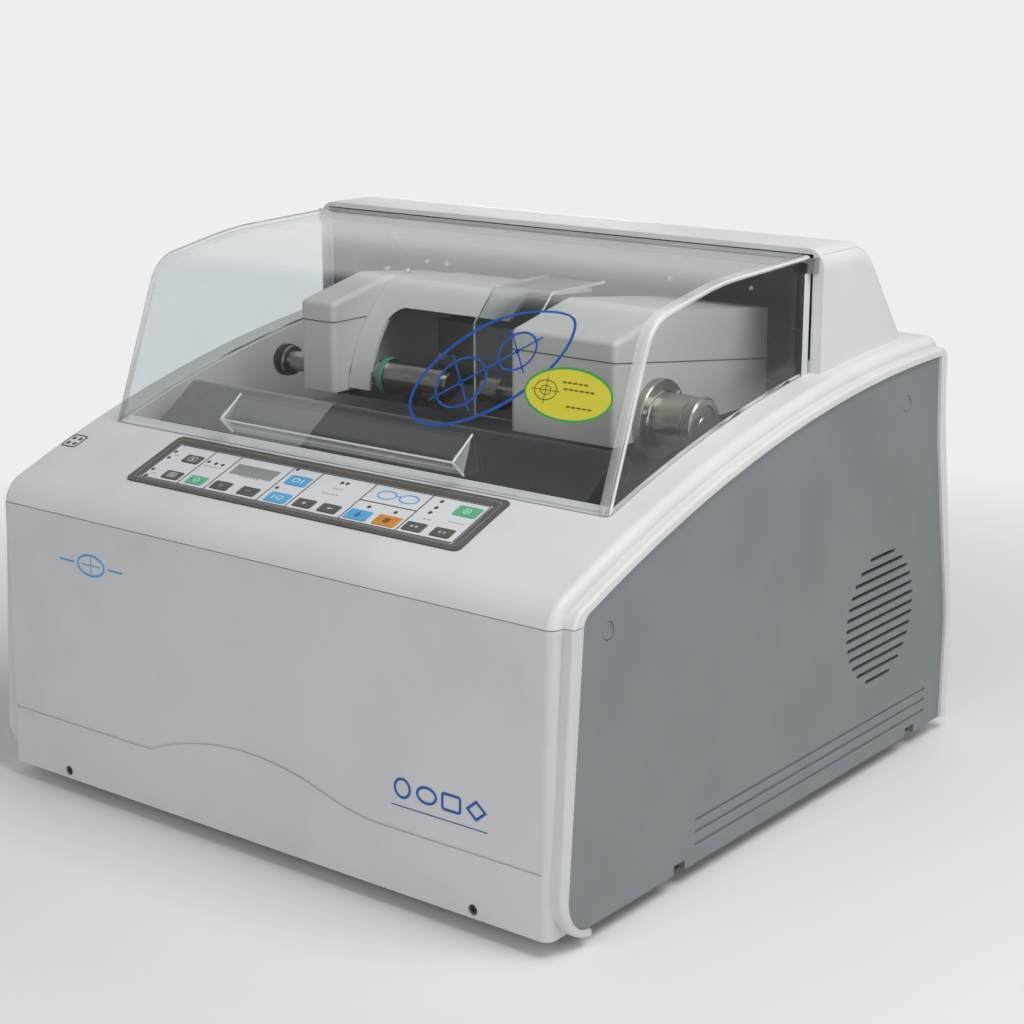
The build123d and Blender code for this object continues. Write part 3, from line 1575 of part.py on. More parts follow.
blade_x = (fan_x[0] + fan_strut[0] + seat_gap, fan_x[1] - 2)
with BuildPart() as fan_rotor:
    rod(blade_x, vent_y, vent_z, fan_hub_radius)
    for blade in range(fan_blade_count):
        spin = Location((middle(blade_x), vent_y, vent_z), (360 * blade / fan_blade_count, 0, 0))
        with Locations(spin):
            with Locations((0, (fan_bore + fan_hub_radius) / 2 - 1, 0)):
                Box(
                    blade_x[1] - blade_x[0],
                    fan_bore - fan_hub_radius - 1,
                    fan_blade_thickness,
                    rotation=(0, fan_blade_angle, 0),
                )
    with BuildSketch(Plane.YZ.offset(blade_x[0])):
        with Locations((vent_y, vent_z)):
            Circle(fan_bore - 1)
    extrude(amount=blade_x[1] - blade_x[0], mode=Mode.INTERSECT)
fan_rotor.part.label = "fan_rotor"
export_step(fan_rotor.part, "parts/fan_rotor.step")

# ---------------------------------------------------------------- electronics
with BuildPart() as power_supply:
    block(supply_x, supply_y, (base_top_z, base_top_z + supply_height))
    fillet(power_supply.edges().filter_by(Axis.Z), arm_corner_radius)
power_supply.part.label = "power_supply"
export_step(power_supply.part, "parts/power_supply.step")

with BuildPart() as circuit_boards:
    block(
        board_x,
        board_y,
        (base_top_z + board_lift, base_top_z + board_lift + board_thickness),
    )
    for post_x in (board_x[0] + board_post_inset, board_x[1] - board_post_inset):
        for post_y in (board_y[0] + board_post_inset, board_y[1] - board_post_inset):
            with Locations((post_x, post_y, base_top_z + board_lift / 2)):
                Cylinder(post_radius, board_lift)
    with BuildSketch(control_plane.offset(-board_depth - board_thickness)):
        Rectangle(window_size[0], window_size[1] + 2 * board_margin)
    extrude(amount=board_thickness)
circuit_boards.part.label = "circuit_boards"
export_step(circuit_boards.part, "parts/circuit_boards.step")
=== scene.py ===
import math

import bpy
from mathutils import Matrix, Vector


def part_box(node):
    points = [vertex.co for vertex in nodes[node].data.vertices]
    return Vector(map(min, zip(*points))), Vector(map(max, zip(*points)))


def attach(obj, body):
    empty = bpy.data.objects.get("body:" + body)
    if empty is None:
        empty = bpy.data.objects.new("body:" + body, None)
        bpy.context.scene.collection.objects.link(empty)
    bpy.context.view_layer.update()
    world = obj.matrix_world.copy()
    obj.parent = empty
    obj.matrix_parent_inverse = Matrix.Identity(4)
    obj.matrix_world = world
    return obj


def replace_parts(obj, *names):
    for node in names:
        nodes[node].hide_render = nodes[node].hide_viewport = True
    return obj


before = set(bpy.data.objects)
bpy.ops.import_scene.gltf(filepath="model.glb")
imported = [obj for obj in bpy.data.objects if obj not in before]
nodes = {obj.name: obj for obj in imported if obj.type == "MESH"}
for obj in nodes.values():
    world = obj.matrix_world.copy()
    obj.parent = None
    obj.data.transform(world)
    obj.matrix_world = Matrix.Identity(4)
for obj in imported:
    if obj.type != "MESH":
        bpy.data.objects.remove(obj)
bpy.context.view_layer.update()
mm = 0.001
print("frame loaded, CAD nodes:", len(nodes))


# small helpers
def linear(hexColour):
    # sRGB hex to the linear colour that a node takes
    parts = [int(hexColour[i:i + 2], 16) / 255 for i in (1, 3, 5)]
    return [p / 12.92 if p <= 0.04045 else ((p + 0.055) / 1.055) ** 2.4 for p in parts] + [1]


def addNode(material, kind, inputs=None, **settings):
    made = material.node_tree.nodes.new("ShaderNode" + kind)
    for name, value in settings.items():
        setattr(made, name, value)
    for name, value in (inputs or {}).items():
        if isinstance(value, bpy.types.NodeSocket):
            material.node_tree.links.new(value, made.inputs[name])
        else:
            made.inputs[name].default_value = value
    return made


def deselect():
    if bpy.context.object and bpy.context.object.mode != "OBJECT":
        bpy.ops.object.mode_set(mode="OBJECT")
    bpy.ops.object.select_all(action="DESELECT")


def activate(piece):
    deselect()
    piece.select_set(True)
    bpy.context.view_layer.objects.active = piece


def takeOver(name):
    # the primitive that was just added gets its name, and its place goes into its mesh
    piece = bpy.context.object
    piece.name = piece.data.name = name
    bpy.ops.object.transform_apply(location=True, rotation=True, scale=True)
    return piece


def between(span):
    return (span[0] + span[1]) / 2


def addBox(name, x, y, z):
    deselect()
    bpy.ops.mesh.primitive_cube_add(size=1, location=[between(s) * mm for s in (x, y, z)])
    bpy.context.object.scale = [(s[1] - s[0]) * mm for s in (x, y, z)]
    return takeOver(name)


axisTurns = {"X": (0, math.pi / 2, 0), "Y": (-math.pi / 2, 0, 0), "Z": (0, 0, 0)}
axisSteps = {"X": Vector((1, 0, 0)), "Y": Vector((0, 1, 0)), "Z": Vector((0, 0, 1))}


def addTurned(name, axis, centre, profile, sides=64):
    # a disc drawn out along its axis as on a lathe: each step is (place on the axis, radius)
    step = axisSteps[axis]
    centre = Vector(centre)
    place, radius = profile[0]
    deselect()
    bpy.ops.mesh.primitive_circle_add(
        vertices=sides,
        radius=radius * mm,
        fill_type="NGON",
        location=(centre + step * place) * mm,
        rotation=axisTurns[axis],
    )
    piece = takeOver(name)
    bpy.ops.object.mode_set(mode="EDIT")
    bpy.ops.mesh.select_all(action="SELECT")
    for nextPlace, nextRadius in profile[1:]:
        bpy.ops.mesh.extrude_region_move(
            TRANSFORM_OT_translate={"value": step * (nextPlace - place) * mm}
        )
        bpy.ops.transform.resize(
            value=[nextRadius / radius] * 3,
            center_override=(centre + step * nextPlace) * mm,
        )
        place, radius = nextPlace, nextRadius
    bpy.ops.mesh.select_all(action="SELECT")
    bpy.ops.mesh.normals_make_consistent(inside=False)
    bpy.ops.object.mode_set(mode="OBJECT")
    return piece


def addRod(name, start, end, radius, sides=20):
    # a round bar between two points
    start, end = Vector(start), Vector(end)
    way = end - start
    deselect()
    bpy.ops.mesh.primitive_cylinder_add(
        vertices=sides,
        radius=radius * mm,
        depth=way.length * mm,
        location=(start + end) / 2 * mm,
        rotation=way.to_track_quat("Z", "Y").to_euler(),
    )
    return takeOver(name)


def choose(piece, kind, test):
    # opens edit mode with the faces, edges or points that the test accepts, given in millimetres
    activate(piece)
    mesh = piece.data
    for group in (mesh.vertices, mesh.edges, mesh.polygons):
        group.foreach_set("select", [False] * len(group))
    if kind == "FACE":
        for face in mesh.polygons:
            face.select = bool(test(face.center / mm, face.normal))
    elif kind == "EDGE":
        for edge in mesh.edges:
            first, second = (mesh.vertices[i].co for i in edge.vertices)
            edge.select = bool(test((first + second) / 2 / mm, (second - first).normalized()))
    else:
        for point in mesh.vertices:
            point.select = bool(test(point.co / mm, point.normal))
    bpy.context.tool_settings.mesh_select_mode = [kind == k for k in ("VERT", "EDGE", "FACE")]
    bpy.ops.object.mode_set(mode="EDIT")


def applied(piece, kind, **settings):
    activate(piece)
    modifier = piece.modifiers.new(kind, kind)
    for name, value in settings.items():
        setattr(modifier, name, value)
    bpy.ops.object.modifier_apply(modifier=modifier.name)
    return piece


def copied(piece, name, matrix):
    twin = piece.copy()
    twin.data = piece.data.copy()
    twin.name = twin.data.name = name
    bpy.context.collection.objects.link(twin)
    twin.data.transform(matrix)
    return twin


def joined(name, pieces):
    deselect()
    for piece in pieces:
        piece.select_set(True)
    bpy.context.view_layer.objects.active = pieces[0]
    if len(pieces) > 1:
        bpy.ops.object.join()
    piece = bpy.context.object
    piece.name = piece.data.name = name
    return piece


rounding = {"segments": 3, "sharper": 40}  # degrees


def fitted(piece, body, finish, edge=0.0, smooth=35):
    # the last step for each piece: rounded edges, its shading, finish and body
    if edge:
        applied(
            piece,
            "BEVEL",
            width=edge * mm,
            segments=rounding["segments"],
            limit_method="ANGLE",
            angle_limit=math.radians(rounding["sharper"]),
        )
    activate(piece)
    bpy.ops.object.shade_smooth_by_angle(angle=math.radians(smooth))
    piece.data.materials.clear()
    piece.data.materials.append(finishes[finish])
    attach(piece, body)
    return piece


# flat drawings: each plane has its origin in millimetres and its slope up from level, in degrees
planes = {
    "control": ((0, -205.7, 257.206), 20.255),
    "coverFront": ((0, -172.5, 268), 68.79),
    "front": ((0, -270, 12), 88.98),
}


def onPlane(name):
    origin, slope = planes[name]
    return Matrix.Translation(Vector(origin) * mm) @ Matrix.Rotation(math.radians(slope), 4, "X")


markSides = {"disc": 28, "oval": 64, "wedge": 3, "diamond": 4}
boxCorner = 0.2  # of its shorter side


def addMark(kind, place, size, turn=0, line=0, cuts=0, corner=0):
    # one flat face, drawn level; with a line width only its outline
    deselect()
    if kind in ("bar", "box"):
        bpy.ops.mesh.primitive_plane_add(size=1)
    else:
        bpy.ops.mesh.primitive_circle_add(vertices=markSides[kind], radius=0.5, fill_type="NGON")
    bpy.context.object.scale = (size[0] * mm, size[1] * mm, 1)
    mark = takeOver("mark")
    bpy.ops.object.mode_set(mode="EDIT")
    bpy.ops.mesh.select_all(action="SELECT")
    if kind == "box":
        radius = corner or min(size) * boxCorner
        bpy.ops.mesh.bevel(offset=radius * mm, segments=4, affect="VERTICES")
        bpy.ops.mesh.select_all(action="SELECT")
    if line:
        bpy.ops.mesh.inset(thickness=line * mm)
        bpy.ops.mesh.delete(type="FACE")
        bpy.ops.mesh.select_all(action="SELECT")
    if cuts:
        bpy.ops.mesh.subdivide(number_cuts=cuts)
    bpy.ops.object.mode_set(mode="OBJECT")
    spin = Matrix.Rotation(math.radians(turn), 4, "Z")
    mark.data.transform(Matrix.Translation(Vector((place[0], place[1], 0)) * mm) @ spin)
    return mark


wrapGap = 0.05  # keeps a wrapped print off the surface under it


def printed(name, plane, marks, lift, ink, body, slot, onto=None, thick=0.12):
    # screen printed marks, laid on their plane or wrapped onto a node, then given a thickness
    flats = []
    for kind, place, size, *more in marks:
        flats.append(addMark(kind, place, size, **(more[0] if more else {})))
    piece = joined(name, flats)
    piece.data.transform(onPlane(plane) @ Matrix.Translation((0, 0, lift * mm)))
    if onto:
        applied(
            piece,
            "SHRINKWRAP",
            target=nodes[onto],
            wrap_method="NEAREST_SURFACEPOINT",
            wrap_mode="ABOVE_SURFACE",
            offset=wrapGap * mm,
        )
    applied(piece, "SOLIDIFY", thickness=thick * mm, offset=1)
    return fitted(piece, body, ink)


flatWithin = 0.05  # how far under its crest a top face still reaches


def topOf(name):
    # middle and height of a node's top face, measured on the control plane
    back = onPlane("control").inverted()
    points = [back @ v.co / mm for v in nodes[name].data.vertices]
    crest = max(p.z for p in points)
    top = [p for p in points if p.z > crest - flatWithin]
    middle = [between((min(p[i] for p in top), max(p[i] for p in top))) for i in (0, 1)]
    return middle, crest


# camera, at the photograph's viewing angle
cameraSettings = {
    "location": (1.0066, -1.2683, 0.6330),
    "turn": (74.97, 0, 37.80),  # degrees
    "lens": 74.97,
    "sensor": 36,
}
deselect()
bpy.ops.object.camera_add(
    location=cameraSettings["location"],
    rotation=[math.radians(a) for a in cameraSettings["turn"]],
)
camera = bpy.context.object
camera.data.lens = cameraSettings["lens"]
camera.data.sensor_width = cameraSettings["sensor"]
bpy.context.scene.camera = camera
print("camera placed")


# finishes
def startMaterial(name, hexColour, roughness, metallic=0.0):
    material = bpy.data.materials.new(name)
    material.use_nodes = True
    material.node_tree.nodes.clear()
    shader = addNode(
        material,
        "BsdfPrincipled",
        {"Base Color": linear(hexColour), "Roughness": roughness, "Metallic": metallic},
    )
    addNode(material, "OutputMaterial", {"Surface": shader.outputs[0]})
    place = addNode(material, "TexCoord").outputs["Object"]
    return material, shader, place


def noisy(material, place, scale, detail):
    sockets = {"Vector": place, "Scale": scale, "Detail": detail}
    return addNode(material, "TexNoise", sockets).outputs["Fac"]


def blended(material, share, first, second):
    # a colour between two, by the share of the second
    mix = addNode(material, "Mix", {0: share, 6: first, 7: second}, data_type="RGBA")
    return mix.outputs[2]


def spread(material, value, onto=(0, 1), span=(0, 1)):
    # the span of a value, laid onto another
    ends = {"From Min": span[0], "From Max": span[1], "To Min": onto[0], "To Max": onto[1]}
    return addNode(material, "MapRange", {"Value": value, **ends}).outputs["Result"]


def relieved(material, height, depth, strength, **settings):
    # bumps of that depth in millimetres
    sockets = {"Height": height, "Distance": depth * mm, "Strength": strength}
    return addNode(material, "Bump", sockets, **settings).outputs["Normal"]


def reckoned(material, operation, first, second):
    return addNode(material, "Math", {0: first, 1: second}, operation=operation).outputs[0]


def layered(material, share, first, second):
    # two shaders mixed, by the share of the second
    return addNode(material, "MixShader", {0: share, 1: first, 2: second}).outputs[0]


def wired(material, shader, colour, polish=None, normal=None):
    for name, socket in {"Base Color": colour, "Roughness": polish, "Normal": normal}.items():
        if socket is not None:
            material.node_tree.links.new(socket, shader.inputs[name])


def surfaced(material, socket):
    # shows that shader in place of the one that the material started with
    output = next(n for n in material.node_tree.nodes if n.type == "OUTPUT_MATERIAL")
    material.node_tree.links.new(socket, output.inputs["Surface"])


moulding = {"clouds": 14, "worn": (0.45, 0.75), "grainStrength": 0.08}


def mouldedPlastic(name, dye, worn, grain, roughness, relief):
    # injection moulded: a spark-eroded grain of that many millimetres, and faint clouds of handling
    material, shader, place = startMaterial(name, dye, roughness[0])
    clouds = noisy(material, place, moulding["clouds"], 3)
    grains = noisy(material, place, 1 / (grain * mm), 2)
    share = spread(material, clouds, span=moulding["worn"])
    colour = blended(material, share, linear(dye), linear(worn))
    polish = spread(material, clouds, onto=roughness)
    normal = relieved(material, grains, relief, moulding["grainStrength"])
    wired(material, shader, colour, polish, normal)
    return material


toneBlur = 0.3  # half the width over which one tone turns into the other


def twoTone(material, tone, side):
    # right of that place across the machine, in millimetres, the same moulding is dyed another tone
    shader = material.node_tree.nodes["Principled BSDF"]
    first = shader.inputs["Base Color"].links[0].from_socket
    place = addNode(material, "TexCoord").outputs["Object"]
    across = addNode(material, "SeparateXYZ", {"Vector": place})
    span = ((side - toneBlur) * mm, (side + toneBlur) * mm)
    step = spread(material, across.outputs["X"], span=span)
    wired(material, shader, blended(material, step, first, linear(tone)))


turning = {"wobble": 0.6, "clouds": 60, "ringStrength": 0.2}


def turnedMetal(name, hexColour, shade, roughness, pitch, relief):
    # machined on a lathe about X: fine rings of that pitch in millimetres, drawn coarser than real
    material, shader, place = startMaterial(name, hexColour, roughness[0], 1.0)
    rings = addNode(
        material,
        "TexWave",
        {
            "Vector": place,
            "Scale": math.pi / 10 / (pitch * mm),  # a wave's length is pi / 10 at scale 1
            "Distortion": turning["wobble"],
            "Detail": 2,
        },
        bands_direction="X",
    )
    clouds = noisy(material, place, turning["clouds"], 3)
    colour = blended(material, clouds, linear(hexColour), linear(shade))
    polish = spread(material, rings.outputs["Fac"], onto=roughness)
    normal = relieved(material, rings.outputs["Fac"], relief, turning["ringStrength"])
    wired(material, shader, colour, polish, normal)
    return material


forming = {"ripples": 9, "depth": 0.4, "rippleStrength": 0.3, "slant": 5, "mirror": (0.04, 1)}


def clearSheet(name, tint, shadow, roughness):
    # formed acrylic: clear straight on, mirroring more at a slant, and dimming the lamps a little
    material, shader, place = startMaterial(name, tint, roughness)
    material.node_tree.nodes.remove(shader)
    ripples = noisy(material, place, forming["ripples"], 1)
    normal = relieved(material, ripples, forming["depth"], forming["rippleStrength"])
    facing = addNode(material, "LayerWeight", {"Blend": 0.5, "Normal": normal})
    slant = reckoned(material, "POWER", facing.outputs["Facing"], forming["slant"])
    mirrored = spread(material, slant, onto=forming["mirror"])
    pane = addNode(material, "BsdfTransparent", {"Color": linear(tint)})
    gloss = addNode(
        material,
        "BsdfGlossy",
        {"Color": (1, 1, 1, 1), "Roughness": roughness, "Normal": normal},
    )
    sheet = layered(material, mirrored, pane.outputs[0], gloss.outputs[0])
    film = addNode(material, "BsdfTransparent", {"Color": linear(shadow)})
    shadowRay = addNode(material, "LightPath").outputs["Is Shadow Ray"]
    surfaced(material, layered(material, shadowRay, sheet, film.outputs[0]))
    return material


foldHighlightLook = {"streaks": 40, "roughness": 0.3}


def paintedFoldHighlight(name, hexColour, share):
    # painted highlight: a soft, pale band laid along a fold in the acrylic, which still shows what
    # is behind
    material, shader, place = startMaterial(name, hexColour, foldHighlightLook["roughness"])
    highlightShare = spread(material, noisy(material, place, foldHighlightLook["streaks"], 2), onto=share)
    pane = addNode(material, "BsdfTransparent")
    surfaced(material, layered(material, highlightShare, pane.outputs[0], shader.outputs[0]))
    return material


printing = {"mesh": 1.5, "roughness": (0.42, 0.58)}  # the screen's mesh in mm


def screenInk(name, colour, thin):
    # screen printed ink: matt, a little uneven where the mesh left it thin
    material, shader, place = startMaterial(name, colour, 0.5)
    mesh = noisy(material, place, 1 / (printing["mesh"] * mm), 2)
    tone = blended(material, mesh, linear(colour), linear(thin))
    wired(material, shader, tone, spread(material, mesh, onto=printing["roughness"]))
    return material


bonding = {"share": (0.1, 0.5), "grainStrength": 0.7}


def gritBond(name, bond, grit, size):
    # diamond grit in a metal bond: sparkling grains of that many millimetres
    material, shader, place = startMaterial(name, bond, 0.6, 0.5)
    grains = addNode(material, "TexVoronoi", {"Vector": place, "Scale": 1 / (size * mm)})
    depth = grains.outputs["Distance"]
    share = spread(material, depth, span=bonding["share"])
    colour = blended(material, share, linear(grit), linear(bond))
    normal = relieved(material, depth, size / 4, bonding["grainStrength"], invert=True)
    wired(material, shader, colour, normal=normal)
    return material


finishTables = {
    mouldedPlastic: {
        # dye, worn tone, grain in mm, roughness range, relief in mm
        "casingAbs": ("#DADAD8", "#D3D3D0", 1.1, (0.34, 0.44), 0.02),
        # the casing's ABS made a little greyer for the front panel: partly a greyer moulding,
        # partly painted shade of the front face, which faces away from the lamps
        "frontAbs": ("#CDCFD1", "#C7C9CB", 1.1, (0.34, 0.44), 0.02),
        "sideAbs": ("#7D8387", "#777D81", 1.4, (0.42, 0.52), 0.03),
        "headAbs": ("#CBCAC4", "#C5C4BD", 0.8, (0.34, 0.46), 0.01),
        "deckAbs": ("#8E9193", "#858889", 1.2, (0.3, 0.42), 0.02),
        "guardAbs": ("#7C7E7C", "#747674", 1.0, (0.22, 0.32), 0.002),
        "basinPolypropylene": ("#4A4E52", "#54585B", 1.0, (0.4, 0.55), 0.02),
        "bezelPolyester": ("#5A5752", "#54514C", 0.9, (0.5, 0.6), 0.01),
        "overlayPolyester": ("#DADCE0", "#D5D7DB", 0.9, (0.45, 0.55), 0.01),
        "keyPolyesterDark": ("#55524E", "#4D4A46", 0.8, (0.45, 0.55), 0.01),
        "keyPolyesterGreen": ("#5DB28A", "#56AA82", 0.8, (0.45, 0.55), 0.01),
        "keyPolyesterBlue": ("#5AA9DC", "#52A0D3", 0.8, (0.45, 0.55), 0.01),
        "keyPolyesterOrange": ("#D08A2E", "#C68228", 0.8, (0.45, 0.55), 0.01),
        "footRubber": ("#1E1E1F", "#2A2A2B", 1.5, (0.65, 0.8), 0.04),
        "beltRubber": ("#191919", "#242424", 0.8, (0.6, 0.75), 0.05),
        "knobPhenolic": ("#1B1B1C", "#232324", 1.0, (0.28, 0.4), 0.01),
        "fanNylon": ("#161718", "#1E1F20", 1.0, (0.45, 0.6), 0.02),
        "pipePolyurethane": ("#4C5A68", "#55636F", 1.0, (0.3, 0.45), 0.01),
        "boardLaminate": ("#1E5A34", "#184C2B", 1.0, (0.35, 0.5), 0.02),
        "displayPane": ("#8A9190", "#838A89", 2.0, (0.1, 0.16), 0.002),
        "baseEnamel": ("#A5A8AA", "#9C9FA1", 1.3, (0.4, 0.5), 0.02),
        "castIron": ("#4A4C4E", "#5A5C5E", 2.0, (0.55, 0.7), 0.1),
        "motorEnamel": ("#26292C", "#303336", 1.5, (0.35, 0.5), 0.03),
        "supplyZinc": ("#A9ABAD", "#9A9C9E", 2.5, (0.35, 0.5), 0.01),
        "castAluminium": ("#A3A39F", "#94948F", 1.6, (0.45, 0.6), 0.06),
        "lampEpoxy": ("#3D3A38", "#474340", 0.6, (0.12, 0.2), 0.002),
        "ringNitrile": ("#3F8F6C", "#37815F", 0.8, (0.35, 0.5), 0.02),
        # painted shade: a dark grey laid inside the hood, under the arch and along the arms' seams
        "linerAbs": ("#505356", "#494C4F", 1.4, (0.4, 0.5), 0.02),
        # painted shade: near black, behind the vents and in the notches
        "gauzeSteel": ("#0E0F10", "#141516", 0.8, (0.6, 0.7), 0.05),
        # painted highlight: a pale opaque tone for the cut edges of the cover and shield, the
        # grip's rods and the cover's rear strips
        "acrylicEdge": ("#D3D7D9", "#C6CACC", 0.8, (0.3, 0.5), 0.03),
    },
    turnedMetal: {
        # colour, shade, roughness range, ring pitch and relief in mm
        "turnedSteel": ("#B6B1A9", "#A09A91", (0.2, 0.32), 0.9, 0.01),
        "groundShaft": ("#C2C3C4", "#B0B1B2", (0.12, 0.2), 0.6, 0.004),
        "screwSteel": ("#5C5E60", "#4B4D4F", (0.35, 0.45), 0.5, 0.01),
        "screwBright": ("#B9B8B4", "#A3A29E", (0.22, 0.34), 0.4, 0.004),
        "collarNickel": ("#9C9A95", "#8A8883", (0.25, 0.38), 0.5, 0.004),
    },
    clearSheet: {
        # tint, what it lets through, roughness
        "coverAcrylic": ("#F8FAFB", "#FFFFFF", 0.02),
        "shieldAcrylic": ("#EDF0F2", "#FAFBFC", 0.03),
    },
    paintedFoldHighlight: {
        # colour, least and greatest share of the painted highlight
        "foldAcrylic": ("#E6E9EB", (0.15, 0.5)),
    },
    screenInk: {
        # colour, and where it lies thin
        "inkCharcoal": ("#4B4844", "#57544F"),
        "inkGrey": ("#8C8A88", "#979592"),
        "inkPale": ("#D3D1CD", "#C4C2BD"),
        "inkMint": ("#BFE6D3", "#B0DBC6"),
        "inkIce": ("#D8ECF8", "#C8E2F1"),
        "inkNavy": ("#2D6C9E", "#36759F"),
        "inkUmber": ("#6B4A1C", "#775526"),
        "inkAzure": ("#3C9BD8", "#4AA3DB"),
        "inkUltramarine": ("#0F4FA8", "#1B58AD"),
        "inkLemon": ("#DAD243", "#D3CA38"),
        "inkLeaf": ("#2E9E4A", "#37A552"),
    },
    gritBond: {
        # bond, grit, grain in mm
        "roughGrit": ("#6E665A", "#A79E8E", 1.2),
        "fineGrit": ("#837A6C", "#A89F92", 0.7),
    },
}
finishes = {}
for make, looks in finishTables.items():
    for name, look in looks.items():
        finishes[name] = make(name, *look)
twoTone(finishes["guardAbs"], "#2C3033", -52)
for name in ("castAluminium", "supplyZinc"):
    finishes[name].node_tree.nodes["Principled BSDF"].inputs["Metallic"].default_value = 1.0

nodeFinishes = {
    "casingAbs": ["upper_casing"],
    "frontAbs": ["front_panel"],
    "sideAbs": ["side_panel_left", "side_panel_right"],
    "headAbs": ["left_arm_cover", "left_arm_lid", "right_arm_cover", "right_arm_lid", "arch_cover"],
    "deckAbs": ["inner_deck"],
    "guardAbs": ["front_guard"],
    "basinPolypropylene": ["grinding_basin"],
    "bezelPolyester": ["keypad_bezel"],
    "overlayPolyester": ["keypad_overlay"],
    "keyPolyesterDark": [
        "key_mode",
        "key_program",
        "key_size_plus",
        "key_size_minus",
        "key_bevel_front",
        "key_bevel_rear",
        "key_clamp",
        "key_release",
    ],
    "keyPolyesterGreen": ["key_start_left", "key_start"],
    "keyPolyesterBlue": ["key_lens_left", "key_lens_right", "key_water"],
    "keyPolyesterOrange": ["key_stop"],
    "footRubber": ["rubber_feet"],
    "beltRubber": ["drive_belt"],
    "knobPhenolic": ["pattern_knob", "rocker_switch"],
    "fanNylon": ["fan_frame", "fan_rotor", "mains_inlet"],
    "pipePolyurethane": ["water_pipes"],
    "boardLaminate": ["circuit_boards"],
    "displayPane": ["display_window"],
    "baseEnamel": ["base_plate", "rear_panel"],
    "castIron": ["spindle_housing"],
    "motorEnamel": ["drive_motor", "lens_motor"],
    "supplyZinc": ["power_supply"],
    "castAluminium": ["head_casting"],
    "turnedSteel": ["lens_shaft", "clamp_quill", "clamp_shaft", "clamp_cylinder", "motor_pulley"],
    "groundShaft": ["guide_shaft", "carriage_sleeve", "wheel_spindle", "cover_hinges"],
    "screwSteel": ["case_screws"],
    "coverAcrylic": ["clear_cover"],
    "shieldAcrylic": ["splash_shield"],
    "roughGrit": ["rough_wheel"],
    "fineGrit": ["bevel_wheel", "polish_wheel"],
}
for finish, names in nodeFinishes.items():
    for name in names:
        nodes[name].data.materials.clear()
        nodes[name].data.materials.append(finishes[finish])
        activate(nodes[name])
        bpy.ops.object.shade_smooth_by_angle(angle=math.radians(30))
print("finishes made:", len(finishes))


# keypad print: the cells, their rules, the lamps and the marks beside them
keypad = {
    "window": (299.2, 46.8),
    "rim": 0.35,  # pale line inside the bezel
    "rule": 1.0,
    "corner": 2.0,
    "groove": {"size": (309.5, 54.6), "rise": 1.9, "line": 0.5, "lift": 0.8, "thick": 0.04},
    "emblem": {
        "rise": 10.3,
        "lenses": (-9, 11),
        "lens": (17, 10.5),
        "bridge": (3.4, 1.1),
        "line": 1.1,
    },
    "dash": {"pitch": 3.2, "share": 0.62, "height": 0.8},
    "lamp": [(0, 1.7), (0.15, 1.6), (0.35, 0.9)],
    "uprights": (-111, -84, -31, -3, 47.5, 99),
    "shelf": (47.5, 99, 2.2),
    "lift": 0.42,
    "lamps": [
        # x and height up the slope
        (-145.7, 13.1),
        (-145.2, 4.8),
        (-145.8, -12.0),
        (-145.0, -20.5),
        (-107.1, 9.4),
        (-99.2, 8.7),
        (-92.4, 8.7),
        (-27.4, 21.0),
        (-26.3, -3.7),
        (19.6, 16.1),
        (24.4, 16.2),
        (61.0, -3.7),
        (85.1, -3.7),
        (109.4, 17.7),
        (110.3, 10.1),
        (109.8, 3.8),
    ],
    "captions": [
        # x, height up the slope, length: short rows of dashes
        (-140.5, 9.0, 5),
        (-140.5, -16.2, 5),
        (-99.5, 4.2, 18),
        (-58.0, 0.2, 20),
        (21.5, 8.4, 10),
        (20.5, 1.2, 16),
        (113.0, -4.0, 8),
        (136.5, -1.6, 14),
    ],
}
frameSize = [side - 2 * keypad["rim"] for side in keypad["window"]]
rules = [("box", (0, 0), frameSize, {"line": keypad["rule"], "corner": keypad["corner"]})]
for x in keypad["uprights"]:
    rules.append(("bar", (x, 0), (keypad["rule"], frameSize[1] - keypad["rule"])))
left, right, shelf = keypad["shelf"]
middle = between((left, right))
rules.append(("bar", (middle, shelf), (right - left, keypad["rule"])))
printed("keypadRules", "control", rules, keypad["lift"], "inkCharcoal", "base", "bezel_dark")
# painted highlight: a thin light grey line printed round the bezel's raised edge, outside the
# window
groove = keypad["groove"]
outline = {"line": groove["line"], "corner": 2 * keypad["corner"]}
printed(
    "bezelHighlightLine",
    "control",
    [("box", (0, groove["rise"]), groove["size"], outline)],
    groove["lift"],
    "inkGrey",
    "base",
    "bezel_dark",
    thick=groove["thick"],
)
emblem = keypad["emblem"]
v = shelf + emblem["rise"]
outline = {"line": emblem["line"]}
signs = [("oval", (middle + u, v), emblem["lens"], outline) for u in emblem["lenses"]]
signs.append(("bar", (middle + 1, v + 1), emblem["bridge"]))
printed("keypadEmblem", "control", signs, keypad["lift"], "inkAzure", "base", "bezel_dark")
dashes = []
dash = keypad["dash"]
for x, v, length in keypad["captions"]:
    count = max(2, round(length / dash["pitch"]))
    for i in range(count):
        u = x + (i - (count - 1) / 2) * length / count
        dashes.append(("bar", (u, v), (length / count * dash["share"], dash["height"])))
printed("keypadCaptions", "control", dashes, keypad["lift"], "inkGrey", "base", "bezel_dark")
lamps = []
for x, v in keypad["lamps"]:
    lens = addTurned("lampLens", "Z", (x, v, keypad["lift"]), keypad["lamp"], 20)
    lens.data.transform(onPlane("control"))
    lamps.append(lens)
fitted(joined("keypadLamps", lamps), "base", "lampEpoxy", smooth=60)
print("keypad printed")


# key marks: plain signs for what each key does, in the key's middle
pale = "inkPale"
screen = ("box", (0, 0), (8, 5.6), {"line": 0.6})


def facing(turns):
    # a pair of wedges, left and right, each turned that way
    return [("wedge", (2 * side, 0), (3.2, 3.4), {"turn": turns * side}) for side in (-1, 1)]


def lensBeside(side):
    # a lens, and the stop at that side of it
    return [("oval", (-1.6 * side, 0), (7, 4.8), {"line": 0.7}), ("bar", (4.4 * side, 0), (1, 4.8))]


